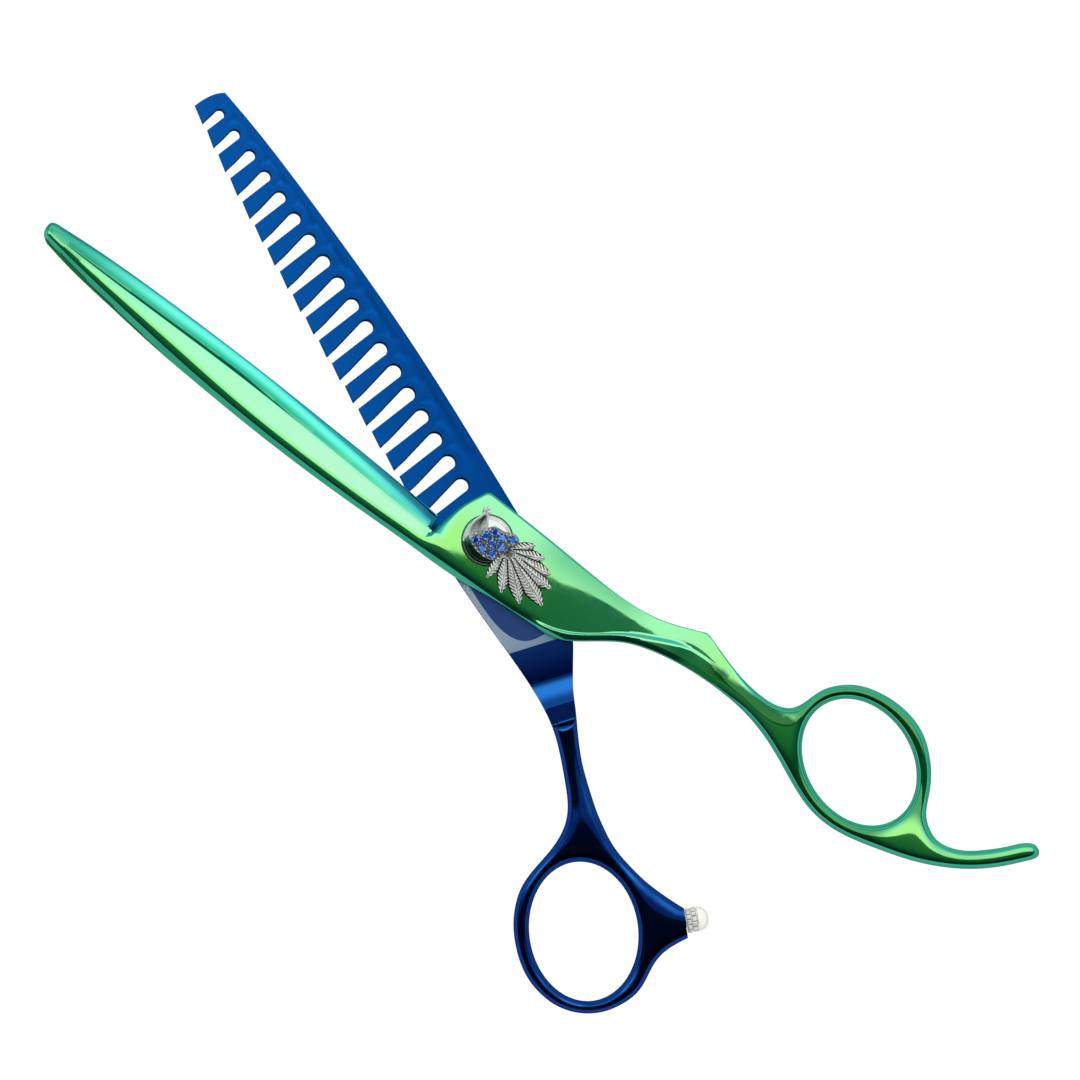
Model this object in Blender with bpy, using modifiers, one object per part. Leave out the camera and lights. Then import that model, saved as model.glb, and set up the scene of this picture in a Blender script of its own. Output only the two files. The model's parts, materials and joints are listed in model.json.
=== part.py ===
"""Thinning shears for hair and pet grooming: a solid-bladed finger half over a toothed thumb half, joined by a
tension screw that carries a cast feather ornament, with a jewelled bumper on the thumb ring.

Lengths below are millimetres. The origin is on the pivot axis at the closed end of the pivot nut, +Z points out of
the ornament side, and +X runs along the finger half towards its tip. The shears stand partly open.
"""

import math

import bmesh
import bpy
import numpy as np
from mathutils import Matrix, Vector
from mathutils.geometry import delaunay_2d_cdt

MM = 0.001

# ---- driving dimensions ---------------------------------------------------------------------------------------
OPEN_ANGLE = 23.0  # thumb half swung open from the finger half, degrees
Z_FINGER = 3.25  # inner face of the finger half
Z_THUMB = 3.15  # inner face of the thumb half
PLATE = 2.95  # thickness of either half at the pivot
FINE = 1.0  # station spacing factor of the two halves

PIVOT_HOLE_R = 3.4
SHANK_R = 2.45
HEAD_R = 4.56
SEAT_R = 4.78  # recess for the screw head in the finger half
HEAD_BOTTOM, HEAD_TOP = 5.85, 7.45
NUT_BARREL_R, NUT_FLANGE_R = 3.3, 4.3
GLIDE_R = 5.4

SLOTS = 18  # gaps between the teeth
SLOT_PITCH = 4.744
SLOT_FIRST = 9.99  # tip-side wall of the gap nearest the pivot
SLOT_MOUTH = 1.3
SLOT_LEAN_HEEL, SLOT_LEAN_TIP = 0.10, 0.26  # how far each wall leans, mm per mm of depth
SLOT_RAKE = (-0.20, 0.26)  # the gaps' floor outline is shifted by this at the outer face

BUMPER_AT = (-76.98, 6.05)  # centre of the boss face, in the thumb half's own axes
BUMPER_DIR = (-0.370, -0.929)
BUMPER_HOLE_R = 1.25

RING_FINGER = (-77.7, -5.7, 12.13, 9.44, -21.8)  # centre x, y, half axes, tilt
RING_THUMB = (-68.85, 22.6, 12.57, 9.78, -24.2)


# ---- curves ---------------------------------------------------------------------------------------------------
def spline(points, spacing):
    """A natural cubic spline through the points, sampled about every `spacing` mm, both ends kept."""
    p = np.array(points, float)
    s = np.concatenate([[0], np.cumsum(np.linalg.norm(np.diff(p, axis=0), axis=1))])
    n = len(p)
    h = np.diff(s)
    a = np.eye(n)
    b = np.zeros((n, 2))
    for i in range(1, n - 1):
        a[i, i - 1 : i + 2] = h[i - 1] / 6, (h[i - 1] + h[i]) / 3, h[i] / 6
        b[i] = (p[i + 1] - p[i]) / h[i] - (p[i] - p[i - 1]) / h[i - 1]
    m = np.linalg.solve(a, b)
    count = max(2, int(round(s[-1] / spacing)) + 1)
    q = np.linspace(0, s[-1], count)
    k = np.clip(np.searchsorted(s, q) - 1, 0, n - 2)
    t0, t1 = (s[k + 1] - q)[:, None], (q - s[k])[:, None]
    hk = h[k][:, None]
    return (
        m[k] * t0**3 / (6 * hk)
        + m[k + 1] * t1**3 / (6 * hk)
        + (p[k] / hk - m[k] * hk / 6) * t0
        + (p[k + 1] / hk - m[k + 1] * hk / 6) * t1
    )


def line_at(stations, x):
    """A smooth line y(x) through a few stations."""
    st = sorted(stations)
    xs, ys = np.array([q[0] for q in st], float), np.array([q[1] for q in st], float)
    slope = np.gradient(ys, xs)
    x = np.clip(np.asarray(x, float), xs[0], xs[-1])
    k = np.clip(np.searchsorted(xs, x) - 1, 0, len(xs) - 2)
    h = xs[k + 1] - xs[k]
    t = (x - xs[k]) / h
    return (
        (2 * t**3 - 3 * t**2 + 1) * ys[k]
        + (t**3 - 2 * t**2 + t) * h * slope[k]
        + (-2 * t**3 + 3 * t**2) * ys[k + 1]
        + (t**3 - t**2) * h * slope[k + 1]
    )


def step(x, lo, hi):
    t = np.clip((np.asarray(x, float) - lo) / (hi - lo), 0, 1)
    return t * t * (3 - 2 * t)


def ellipse(cx, cy, a, b, tilt, count):
    th = np.linspace(0, 2 * math.pi, count, endpoint=False)
    c, s = math.cos(math.radians(tilt)), math.sin(math.radians(tilt))
    x, y = a * np.cos(th), b * np.sin(th)
    return np.stack([cx + c * x - s * y, cy + s * x + c * y], 1)


def join(*stretches):
    """Stretches that meet at corners, as one closed loop."""
    loop = []
    for stretch in stretches:
        loop += [tuple(q) for q in stretch[:-1]]
    return np.array(loop)


# ---- outlines -------------------------------------------------------------------------------------------------
F_EDGE = [(9.95, 1.45), (20, 0.45), (35, -0.65), (50, -1.6), (65, -2.25), (80, -2.6), (90, -2.5), (96.2, -2.25)]
F_TIP = [(96.2, -2.25), (97.1, -1.85), (97.4, -0.6), (97.05, 0.6), (95.55, 1.75)]
F_SPINE = [(95.55, 1.75), (90, 2.95), (80, 4.45), (70, 5.8), (60, 6.8), (50, 7.6), (40, 8.2), (25, 8.6), (10, 8.7), (0, 8.7),
           (-5, 8.2), (-10, 7.85), (-15, 7.75), (-19, 7.6), (-22, 6.6), (-25, 4.7), (-28, 2.6), (-31, 0.85), (-35, -0.5),
           (-40, -1.45), (-45, -1.85), (-50, -1.8), (-55, -1.3), (-60, -0.05), (-65, 1.95), (-70, 4.35), (-75, 6.25), (-80, 6.85),
           (-85, 6.25), (-90, 5.05), (-95, 3.6), (-100, 1.55), (-105, -1.35), (-110, -5.6), (-112.5, -8.35)]
F_REST_END = [(-112.5, -8.35), (-113.45, -9.5), (-113.75, -10.6), (-113.15, -11.35), (-112.0, -11.65), (-110.9, -11.2), (-109.75, -10.25)]
F_RING = [(-109.75, -10.25), (-107.2, -7.5), (-104.7, -5.25), (-102.2, -3.45), (-99.9, -2.5), (-97.6, -2.2), (-95.1, -3.05), (-93, -4.9),
          (-91.6, -7.6), (-90, -10.7), (-87.6, -13.7), (-85, -15.95), (-82, -17.45), (-79, -18.15), (-76, -18.3), (-72.4, -17.85),
          (-69.1, -16.65), (-66.6, -14.75), (-64.9, -12.65), (-63.95, -10.4), (-63.2, -8.3), (-62.1, -6.7), (-60.2, -5.7),
          (-57.5, -5.35), (-54, -5.6), (-50, -6.45), (-46, -7.75), (-42.9, -8.85)]
F_HEEL = [(-42.9, -8.85), (-42.0, -9.0), (-41.2, -8.75)]
F_LOWER = [(-41.2, -8.75), (-37.5, -7.35), (-34, -6.3), (-30, -5.65), (-25, -5.5), (-15, -6.15), (-5, -6.85), (4.0, -7.35)]
F_FRONT = [(4.0, -7.35), (4.75, -7.15), (5.4, -6.3), (6.3, -4.6), (7.15, -2.8), (7.65, -1.3), (8.1, 0.6), (8.55, 2.7), (9.05, 4.9)]
F_NOTCH = [(9.05, 4.9), (9.1, 3.8), (9.25, 2.7), (9.95, 1.45)]

# lines along the finger blade: top of the cutting bead, crest, start of the spine bevel
F_RIDGE = [(9.0, 4.2), (20, 3.55), (35, 2.5), (50, 1.5), (65, 0.9), (80, 0.45), (97.3, -0.35)]
F_CREST = [(-22, 6.1), (-15, 7.05), (0, 7.1), (20, 7.15), (35, 6.85), (50, 5.95), (60, 4.8), (75, 2.9), (90, 1.0), (97.3, 0.0)]
F_BEVEL = [(-22, 6.5), (-15, 7.55), (0, 7.75), (20, 7.8), (35, 7.45), (50, 6.6), (65, 5.1), (80, 3.05), (90, 1.5), (97.3, 0.2)]

T_TEETH = [(5, 7.95), (20, 7.65), (30, 7.58), (43, 7.15), (57.4, 6.56), (71.6, 5.7), (81, 4.96), (90.6, 3.86), (95, 3.2)]
T_TIP = [(93.4, -2.65), (94.0, -1.4), (94.35, 0.4), (94.4, 2.0), (94.3, 3.25)]
T_UPPER = [(8.69, 7.6), (5, 8.05), (0, 8.45), (-5, 8.4), (-15, 7.9), (-25, 7.35), (-30, 7.4), (-35, 8.0), (-39.8, 9.45),
           (-44.7, 11.4), (-48.1, 13.05), (-50.5, 15.0), (-52.05, 17.2), (-53.2, 19.75), (-54.1, 22.6), (-55.0, 25.4),
           (-56.2, 27.95), (-58.3, 30.5), (-61.05, 32.65), (-64.4, 34.3), (-67.8, 35.3), (-71, 35.6), (-74.2, 35.15),
           (-77.2, 34.05), (-79.75, 32.25), (-81.85, 29.7), (-83.1, 26.9), (-83.6, 23.8), (-83.5, 21.2), (-82.8, 18.9),
           (-81.6, 16.8), (-80.55, 14.95), (-79.8, 12.8), (-79.6, 10.5), (-79.8, 7.3)]
T_LOWER = [(-74.85, 5.1), (-72.9, 6.05), (-69.9, 7.35), (-67, 8.4), (-64, 9.15), (-61, 9.7), (-58, 9.9), (-55, 9.65), (-52, 9.2),
           (-49, 8.5), (-46, 7.7), (-43, 6.75), (-40, 5.5), (-37, 4.05), (-34.1, 2.6), (-31, 1.15), (-28.5, -0.35), (-26, -1.95),
           (-23.5, -3.5), (-20, -5.1), (-15, -6.35), (-8, -6.95), (2, -7.2), (20, -7.4), (30, -7.4), (45, -7.0), (60, -6.1),
           (75, -4.9), (87, -3.6), (93.4, -2.65)]


def slot_points(k, arc):
    """One gap between teeth, from its tip-side mouth corner round its root to the other corner."""
    xr = SLOT_FIRST + SLOT_PITCH * (k - 1)
    xl = xr - SLOT_MOUTH
    yr, yl = float(line_at(T_TEETH, xr)), float(line_at(T_TEETH, xl)) - 0.30
    root = -3.2 + 0.0193 * (k - 6.5) ** 2
    cl, cr = math.hypot(1, SLOT_LEAN_HEEL), math.hypot(1, SLOT_LEAN_TIP)
    radius = 1.2
    for _ in range(30):
        y = root + radius
        left, right = xl + SLOT_LEAN_HEEL * (yl - y), xr + SLOT_LEAN_TIP * (yr - y)
        radius = (right - left) / (cl + cr)
    cx, cy = left + radius * cl, root + radius
    a0 = math.atan2(SLOT_LEAN_TIP, 1)  # where the tip-side wall is tangent
    a1 = math.atan2(SLOT_LEAN_HEEL, -1) - 2 * math.pi
    th = np.linspace(a0, a1, arc)
    rounded = np.stack([cx + radius * np.cos(th), cy + radius * np.sin(th)], 1)
    return [(xr, yr)] + [tuple(q) for q in rounded] + [(xl, yl)]


def finger_loops(f, ring):
    outer = join(
        spline(F_EDGE, 6 * f), spline(F_TIP, 0.9 * f), spline(F_SPINE, 2.2 * f), spline(F_REST_END, 0.9 * f),
        spline(F_RING, 2.1 * f), spline(F_HEEL, 0.7 * f), spline(F_LOWER, 2.6 * f), spline(F_FRONT, 1.4 * f),
        spline(F_NOTCH, 0.9 * f),
    )
    return [outer, ellipse(*RING_FINGER, ring)[::-1]]


def thumb_loops(f, ring, arc):
    teeth = [(94.3, 3.25)]
    for k in range(SLOTS, 0, -1):
        teeth += slot_points(k, arc)
    bx, by = BUMPER_DIR
    up, low = T_UPPER[-1], T_LOWER[0]
    upper = [tuple(q) for q in spline(T_UPPER, 2.2 * f)]
    lower = [tuple(q) for q in spline(T_LOWER, 2.4 * f)]
    beyond = [(up[0] + 4 * bx, up[1] + 4 * by), (low[0] + 4 * bx, low[1] + 4 * by)]  # cut off flat afterwards
    tip = [tuple(q) for q in spline(T_TIP, 1.2 * f)]
    outer = np.array(teeth[:-1] + upper + beyond + lower[:-1] + tip[:-1])
    return [outer, ellipse(*RING_THUMB, ring)[::-1]]


# ---- planar mesh with graded rows inside the outline ------------------------------------------------------------
def segments(loops):
    a = np.concatenate(loops)
    b = np.concatenate([np.roll(q, -1, axis=0) for q in loops])
    return a, b


def edge_distance(points, loops):
    a, b = segments(loops)
    out = np.empty(len(points))
    d = b - a
    dd = (d**2).sum(1)
    for i in range(0, len(points), 2000):
        p = points[i : i + 2000, None]
        t = np.clip(((p - a) * d).sum(2) / dd, 0, 1)
        out[i : i + 2000] = np.sqrt((((a + t[..., None] * d) - p) ** 2).sum(2).min(1))
    return out


def inside(points, loops):
    a, b = segments(loops)
    out = np.zeros(len(points), bool)
    for i in range(0, len(points), 2000):
        x, y = points[i : i + 2000, 0, None], points[i : i + 2000, 1, None]
        spans = (a[:, 1] > y) != (b[:, 1] > y)
        with np.errstate(divide="ignore", invalid="ignore"):
            at = a[:, 0] + (y - a[:, 1]) / (b[:, 1] - a[:, 1]) * (b[:, 0] - a[:, 0])
        out[i : i + 2000] = (spans & (x < at)).sum(1) % 2 == 1
    return out


def planar_mesh(loops, lines, rows, grid, keep_off):
    """Points and triangles filling the loops, with rows of points a set distance inside the outline, creases along
    `lines`, and a triangular grid in between."""
    taken = [tuple(q) for loop in loops for q in loop]
    edges, start = [], 0
    for loop in loops:
        n = len(loop)
        edges += [(start + i, start + (i + 1) % n) for i in range(n)]
        start += n
    for line in lines:
        line = np.array(line)
        good = inside(line, loops) & (edge_distance(line, loops) > 0.04)
        prev = None
        for q, ok in zip(line, good):
            if not ok:
                prev = None
                continue
            taken.append(tuple(q))
            if prev is not None:
                edges.append((prev, len(taken) - 1))
            prev = len(taken) - 1
    fixed = len(taken)
    for j, row in enumerate(rows):
        gap = row - (rows[j - 1] if j else 0)
        for loop in loops:
            t = np.roll(loop, -1, axis=0) - np.roll(loop, 1, axis=0)
            t /= np.linalg.norm(t, axis=1)[:, None]
            cand = loop + row * np.stack([-t[:, 1], t[:, 0]], 1)
            ok = inside(cand, loops)
            cand = cand[ok]
            if not len(cand):
                continue
            cand = cand[edge_distance(cand, loops) > 0.93 * row]
            for q in cand:
                near = np.array(taken) - q
                if (near**2).sum(1).min() > (0.55 * gap) ** 2:
                    taken.append(tuple(q))
    lo, hi = np.min(loops[0], axis=0), np.max(loops[0], axis=0)
    ys = np.arange(lo[1] + grid / 2, hi[1], grid * 0.866)
    cand = np.concatenate(
        [np.stack([np.arange(lo[0] + (i % 2) * grid / 2, hi[0], grid), np.full(len(np.arange(lo[0] + (i % 2) * grid / 2, hi[0], grid)), y)], 1)
         for i, y in enumerate(ys)]
    )
    cand = cand[inside(cand, loops)]
    cand = cand[edge_distance(cand, loops) > keep_off]
    have = np.array(taken)
    for q in cand:
        if ((have - q) ** 2).sum(1).min() > (0.6 * grid) ** 2:
            taken.append(tuple(q))
    verts, _, faces, *_ = delaunay_2d_cdt([Vector(q) for q in taken], edges, [], 0, 1e-6)
    verts = np.array([tuple(q) for q in verts])
    faces = np.array([tuple(q) for q in faces])
    faces = faces[inside(verts[faces].mean(1), loops)]
    used, index = np.unique(faces, return_inverse=True)
    verts, faces = verts[used], index.reshape(-1, 3)
    e1, e2 = verts[faces[:, 1]] - verts[faces[:, 0]], verts[faces[:, 2]] - verts[faces[:, 0]]
    turned = e1[:, 0] * e2[:, 1] - e1[:, 1] * e2[:, 0] < 0
    faces[turned] = faces[turned][:, ::-1]
    return verts, faces


def rim_of(faces):
    """Directed edges that only one triangle has."""
    e = np.concatenate([faces[:, [0, 1]], faces[:, [1, 2]], faces[:, [2, 0]]])
    have = set(map(tuple, e))
    return np.array([q for q in map(tuple, e) if (q[1], q[0]) not in have])


def membrane(verts, faces):
    """Height of a membrane pinned at the rim and blown up evenly: half the local width at a bar's middle."""
    n = len(verts)
    k = np.zeros((n, n))
    load = np.zeros(n)
    p = verts[faces]
    e = [p[:, 2] - p[:, 1], p[:, 0] - p[:, 2], p[:, 1] - p[:, 0]]
    area = 0.5 * np.abs(e[0][:, 0] * e[1][:, 1] - e[0][:, 1] * e[1][:, 0])
    for i in range(3):
        np.add.at(load, faces[:, i], area / 3)
        for j in range(3):
            np.add.at(k, (faces[:, i], faces[:, j]), (e[i] * e[j]).sum(1) / (4 * area))
    rim = np.unique(rim_of(faces))
    k[rim] = 0
    k[rim, rim] = 1
    load[rim] = 0
    return np.sqrt(2 * np.maximum(np.linalg.solve(k, load), 0))


# ---- heights of the two faces -------------------------------------------------------------------------------------
RIM = 0.14


def bar(t):
    """Half thickness of a rounded bar, ring or web from its membrane height."""
    return np.maximum(3.2 * (t / 1.235) / np.sqrt(1 + (t / 1.235) ** 2), RIM)


def plate_top(x, y):
    """Gently crowned plate, highest along its crest and falling away towards the other edge and both ends."""
    fall = 6.6 - y
    return PLATE - 0.02 * fall - 0.0028 * fall**2 - 0.00147 * x**2


def finger_outer(x, y, t, d):
    """Height of the finger half's outer face: a rounded plate, a fluted blade with a cutting bead, and a rounded shank."""
    crest, bevel, ridge = line_at(F_CREST, x), line_at(F_BEVEL, x), line_at(F_RIDGE, x)
    edge = line_at(F_EDGE, x)
    zc = 2.35 - 1.15 * np.clip((x - 10) / 87, 0, 1)
    zr = 0.56 * zc
    s = np.clip((y - edge) / np.maximum(ridge - edge, 0.05), 0, 1)
    nose = np.clip((x - 8.9) / 1.3, 0.02, 1)
    bead = 0.10 + (zr - 0.10) * s + 0.33 * zc * 4 * s * (1 - s)
    bead = bead * np.sqrt(1 - (1 - nose) ** 2)
    q = np.clip((y - ridge) / np.maximum(crest - ridge, 0.05), 0, 1)
    flute = zr + (zc - zr) * (0.75 * q + 0.25 * q * q)
    blade = np.where(y < ridge, bead, flute)
    w = step(x, 7.5, 13.5)
    w = np.where((x > 8.9) & (y < 4.7), 1.0, w)
    top = plate_top(x, np.minimum(y, crest)) * (1 - w) + blade * w
    over = np.clip((y - crest) / np.maximum(bevel - crest, 0.05), 0, 1)
    top = top - 0.22 * over**2 - 0.95 * np.maximum(y - bevel, 0)
    soft = np.clip(1 - d / 0.5, 0, 1) * ((x < 9.05) & (y < 6.0))
    top = np.maximum(top - 0.55 * soft**1.4, 0.10)
    w = step(-x, 15, 36)
    return top * (1 - w) + bar(t) * (0.8 + 0.2 * step(-x, 38, 62)) * w


def shank_inner(x, y, t, start, slant):
    """How far the inner face rises over the mating plane: nothing on the plate, a scooped ramp, then the full bar."""
    run = np.maximum(start + slant * y - x, 0)
    rise = np.where(run < 5.4, run**2 / 19.0, 5.4**2 / 19.0 + 0.03 * (run - 5.4))
    return np.minimum(bar(t), rise + 0.42 * np.maximum(run - 8.7, 0))


def thumb_outer(x, y, t, d):
    teeth = line_at(T_TEETH, x)
    zs = 2.35 - 0.95 * np.clip((x - 10) / 84, 0, 1)
    s = np.clip((teeth - y) / 8.5, 0, 1)
    blade = 0.75 + (zs - 0.75) * (1 - (1 - s) ** 2)
    w = step(x, 3.0, 13.5)
    top = (2.9 - 0.0040 * y**2 - 0.0012 * x**2) * (1 - w) + blade * w
    soft = np.clip(1 - d / 0.8, 0, 1)
    spine = (y < -0.5) | (x < 8.0)
    top = np.maximum(top - 0.7 * soft**1.3 * spine, 0.35)
    w = step(-x, 17, 35)
    return top * (1 - w) + bar(t) * w


# ---- Blender objects ------------------------------------------------------------------------------------------------
for old in list(bpy.data.objects):
    bpy.data.objects.remove(old, do_unlink=True)

PARTS = bpy.data.collections.new("thinning_shears")
CUTTERS = bpy.data.collections.new("cutters")
bpy.context.scene.collection.children.link(PARTS)
bpy.context.scene.collection.children.link(CUTTERS)


def material(name, color, rough, metal, alpha=1.0):
    m = bpy.data.materials.new(name)
    m.use_nodes = True
    b = m.node_tree.nodes["Principled BSDF"]
    b.inputs["Base Color"].default_value = (*color, 1)
    b.inputs["Roughness"].default_value = rough
    b.inputs["Metallic"].default_value = metal
    b.inputs["Alpha"].default_value = alpha
    return m


GREEN = material("green_titanium", (0.10, 0.62, 0.30), 0.15, 1.0)
BLUE = material("blue_titanium", (0.01, 0.09, 0.42), 0.2, 1.0)
SILVER = material("bright_plating", (0.78, 0.78, 0.76), 0.15, 1.0)
STEEL = material("screw_steel", (0.62, 0.62, 0.62), 0.3, 1.0)
NYLON = material("nylon", (0.86, 0.85, 0.80), 0.5, 0.0)
BRONZE = material("glide_bronze", (0.72, 0.50, 0.24), 0.35, 1.0)
GEM = material("blue_glass", (0.03, 0.12, 0.75), 0.03, 0.0)
PEARL = material("silicone_pearl", (0.93, 0.91, 0.84), 0.35, 0.0)


def empty(name, parent=None, location=(0, 0, 0), rotation=0.0):
    e = bpy.data.objects.new(name, None)
    e.location = Vector(location) * MM
    e.rotation_euler.z = math.radians(rotation)
    e.parent = parent
    PARTS.objects.link(e)
    return e


FINGER = empty("finger_frame")
THUMB = empty("thumb_frame", FINGER, rotation=-OPEN_ANGLE)
DIAL = empty("dial_frame", THUMB, rotation=OPEN_ANGLE)


def add(obj, parent, mat, smooth=35):
    for c in obj.users_collection:
        c.objects.unlink(obj)
    PARTS.objects.link(obj)
    obj.parent = parent
    if mat is not None:
        obj.data.materials.clear()
        obj.data.materials.append(mat)
    if smooth and obj.type == "MESH":
        obj.data.shade_smooth()
        obj.data.set_sharp_from_angle(angle=math.radians(smooth))
    return obj


def from_bmesh(name, bm):
    me = bpy.data.meshes.new(name)
    bm.to_mesh(me)
    bm.free()
    obj = bpy.data.objects.new(name, me)
    bpy.context.scene.collection.objects.link(obj)
    return obj


def slab(name, verts, faces, top, bottom, shift=None):
    """A closed body between two height fields over one planar mesh."""
    n = len(verts)
    low = verts if shift is None else verts + shift
    pts = [(v[0] * MM, v[1] * MM, z * MM) for v, z in zip(verts, top)]
    pts += [(v[0] * MM, v[1] * MM, z * MM) for v, z in zip(low, bottom)]
    bm = bmesh.new()
    bv = [bm.verts.new(q) for q in pts]
    for f in faces:
        bm.faces.new([bv[i] for i in f])
        bm.faces.new([bv[n + i] for i in f[::-1]])
    for a, b in rim_of(faces):
        bm.faces.new([bv[a], bv[n + a], bv[n + b], bv[b]])
    bmesh.ops.triangulate(bm, faces=[f for f in bm.faces if len(f.verts) > 3])
    return from_bmesh(name, bm)


def as_cutter(obj, parent=None):
    for c in obj.users_collection:
        c.objects.unlink(obj)
    CUTTERS.objects.link(obj)
    obj.hide_render = True
    obj.display_type = "WIRE"
    obj.parent = parent
    return obj


def cylinder(name, r, z0, z1, steps=40, x=0.0, y=0.0):
    bm = bmesh.new()
    bmesh.ops.create_cone(bm, cap_ends=True, segments=steps, radius1=r * MM, radius2=r * MM, depth=(z1 - z0) * MM)
    bmesh.ops.translate(bm, verts=bm.verts, vec=Vector((x, y, (z0 + z1) / 2)) * MM)
    return from_bmesh(name, bm)


def boolean(obj, other, operation="DIFFERENCE"):
    m = obj.modifiers.new(operation.lower() + "_" + other.name, "BOOLEAN")
    m.operation = operation
    m.solver = "EXACT"
    m.object = other
    return m


def turned(name, profile, steps, parent, mat, smooth=35):
    """A turned piece: (radius, height) pairs, from the top of its outer side downwards."""
    me = bpy.data.meshes.new(name)
    pts = [(r * MM, 0, z * MM) for r, z in profile]
    n = len(pts)
    closed = profile[0][0] > 1e-6 and profile[-1][0] > 1e-6
    edges = [(i, i + 1) for i in range(n - 1)] + ([(n - 1, 0)] if closed else [])
    me.from_pydata(pts, edges, [])
    obj = bpy.data.objects.new(name, me)
    bpy.context.scene.collection.objects.link(obj)
    m = obj.modifiers.new("turn", "SCREW")
    m.steps = m.render_steps = steps
    m.use_merge_vertices = True
    m.merge_threshold = 1e-6
    m.use_smooth_shade = True
    add(obj, parent, mat, 0)
    return obj


def rotate_onto(obj, direction, at):
    """Turns a piece made along +Z to point along a direction in the plane, from a point."""
    d = Vector((direction[0], direction[1], 0)).normalized()
    obj.rotation_mode = "QUATERNION"
    obj.rotation_quaternion = Vector((0, 0, 1)).rotation_difference(d)
    obj.location = Vector(at) * MM
    return obj


# ---- the two halves ----------------------------------------------------------------------------------------------
def along(stations, lo, hi, gap):
    xs = np.arange(lo, hi, gap)
    return np.stack([xs, line_at(stations, xs)], 1)


def pivot_circle(count=28):
    return ellipse(0, 0, PIVOT_HOLE_R, PIVOT_HOLE_R, 0, count)[::-1]


def make_finger_half():
    loops = finger_loops(FINE, 40) + [pivot_circle()]
    creases = [along(F_RIDGE, 10.4, 96, 7), along(F_CREST, -18, 96, 7), along(F_BEVEL, -18, 96, 7)]
    verts, faces = planar_mesh(loops, creases, (0.5, 1.35), 4.2, 1.5)
    t = membrane(verts, faces)
    d = edge_distance(verts, loops[:1])
    x, y = verts[:, 0], verts[:, 1]
    top = Z_FINGER + finger_outer(x, y, t, d)
    bottom = Z_FINGER - shank_inner(x, y, t, -30.0, 0.0)
    return slab("finger_half", verts, faces, top, bottom)


def make_thumb_half():
    loops = thumb_loops(FINE, 40, 6) + [pivot_circle()]
    verts, faces = planar_mesh(loops, [], (0.5, 1.35), 4.2, 1.5)
    t = membrane(verts, faces)
    d = edge_distance(verts, loops[:1])
    x, y = verts[:, 0], verts[:, 1]
    top = Z_THUMB + shank_inner(x, y, t, -27.8, 0.27)
    bottom = Z_THUMB - thumb_outer(x, y, t, d)
    # the gaps are cut at a slight rake, so their outline shifts towards the outer face
    near = np.clip(1 - d / 1.2, 0, 1) * (x > 8) * (y > -4.2)
    near = near * np.clip((line_at(T_TEETH, x) - 0.6 - y) / 2.0, 0, 1)
    shift = np.stack([near * SLOT_RAKE[0], near * SLOT_RAKE[1]], 1)
    return slab("thumb_half", verts, faces, top, bottom, shift)


finger_half = add(make_finger_half(), FINGER, GREEN)
boolean(finger_half, as_cutter(cylinder("finger_flange_seat", SEAT_R, 5.05, 8.0, 44)))
boolean(finger_half, as_cutter(cylinder("finger_glide_seat", GLIDE_R + 0.1, 2.0, 3.5, 44)))

thumb_half = add(make_thumb_half(), THUMB, BLUE)
boolean(thumb_half, as_cutter(cylinder("thumb_glide_seat", GLIDE_R + 0.1, 2.9, 4.5, 44), THUMB))
boolean(thumb_half, as_cutter(cylinder("thumb_nut_seat", NUT_FLANGE_R + 0.1, -1.0, 0.85, 44), THUMB))
bm = bmesh.new()
bmesh.ops.create_cube(bm, size=1.0)
bmesh.ops.scale(bm, vec=Vector((12, 12, 8)) * MM, verts=bm.verts)
bmesh.ops.translate(bm, verts=bm.verts, vec=Vector((0, 0, 4)) * MM)
boss_end = as_cutter(from_bmesh("boss_end", bm), THUMB)
rotate_onto(boss_end, BUMPER_DIR, (*BUMPER_AT, Z_THUMB))
boolean(thumb_half, boss_end)
stud_hole = as_cutter(cylinder("stud_hole", BUMPER_HOLE_R, -9.6, 2.0, 20), THUMB)
rotate_onto(stud_hole, BUMPER_DIR, (*BUMPER_AT, Z_THUMB))
boolean(thumb_half, stud_hole)

# ---- pivot stack ---------------------------------------------------------------------------------------------------
turned("pivot_nut", [(0, 2.85 - 2.0), (2.55, 0.85), (2.55, 2.85), (3.1, 2.85), (NUT_BARREL_R, 2.65), (NUT_BARREL_R, 0.75),
                     (NUT_FLANGE_R, 0.75), (NUT_FLANGE_R, 0.25), (4.05, 0.0), (0, 0.0)], 36, THUMB, STEEL)
turned("glide_washer", [(GLIDE_R, 3.45), (GLIDE_R, 2.95), (2.8, 2.95), (2.8, 3.45)], 36, THUMB, BRONZE)
turned("pivot_bush", [(4.4, 5.45), (4.4, 5.1), (3.32, 5.1), (3.32, 3.56), (2.58, 3.56), (2.58, 5.45)], 36, FINGER, NYLON)


def wave_washer():
    """A thin spring washer with three gentle waves round it."""
    steps, r0, r1, t, wave = 36, 2.8, 4.15, 0.12, 0.05
    bm = bmesh.new()
    ring = []
    for i in range(steps):
        a = 2 * math.pi * i / steps
        z = 5.66 + wave * math.cos(3 * a)
        ring.append([bm.verts.new(Vector((r * math.cos(a), r * math.sin(a), z + s * t / 2)) * MM)
                     for r, s in ((r0, -1), (r1, -1), (r1, 1), (r0, 1))])
    for i in range(steps):
        a, b = ring[i], ring[(i + 1) % steps]
        for j in range(4):
            bm.faces.new([a[j], b[j], b[(j + 1) % 4], a[(j + 1) % 4]])
    bmesh.ops.recalc_face_normals(bm, faces=bm.faces)
    return from_bmesh("tension_washer", bm)


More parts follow.
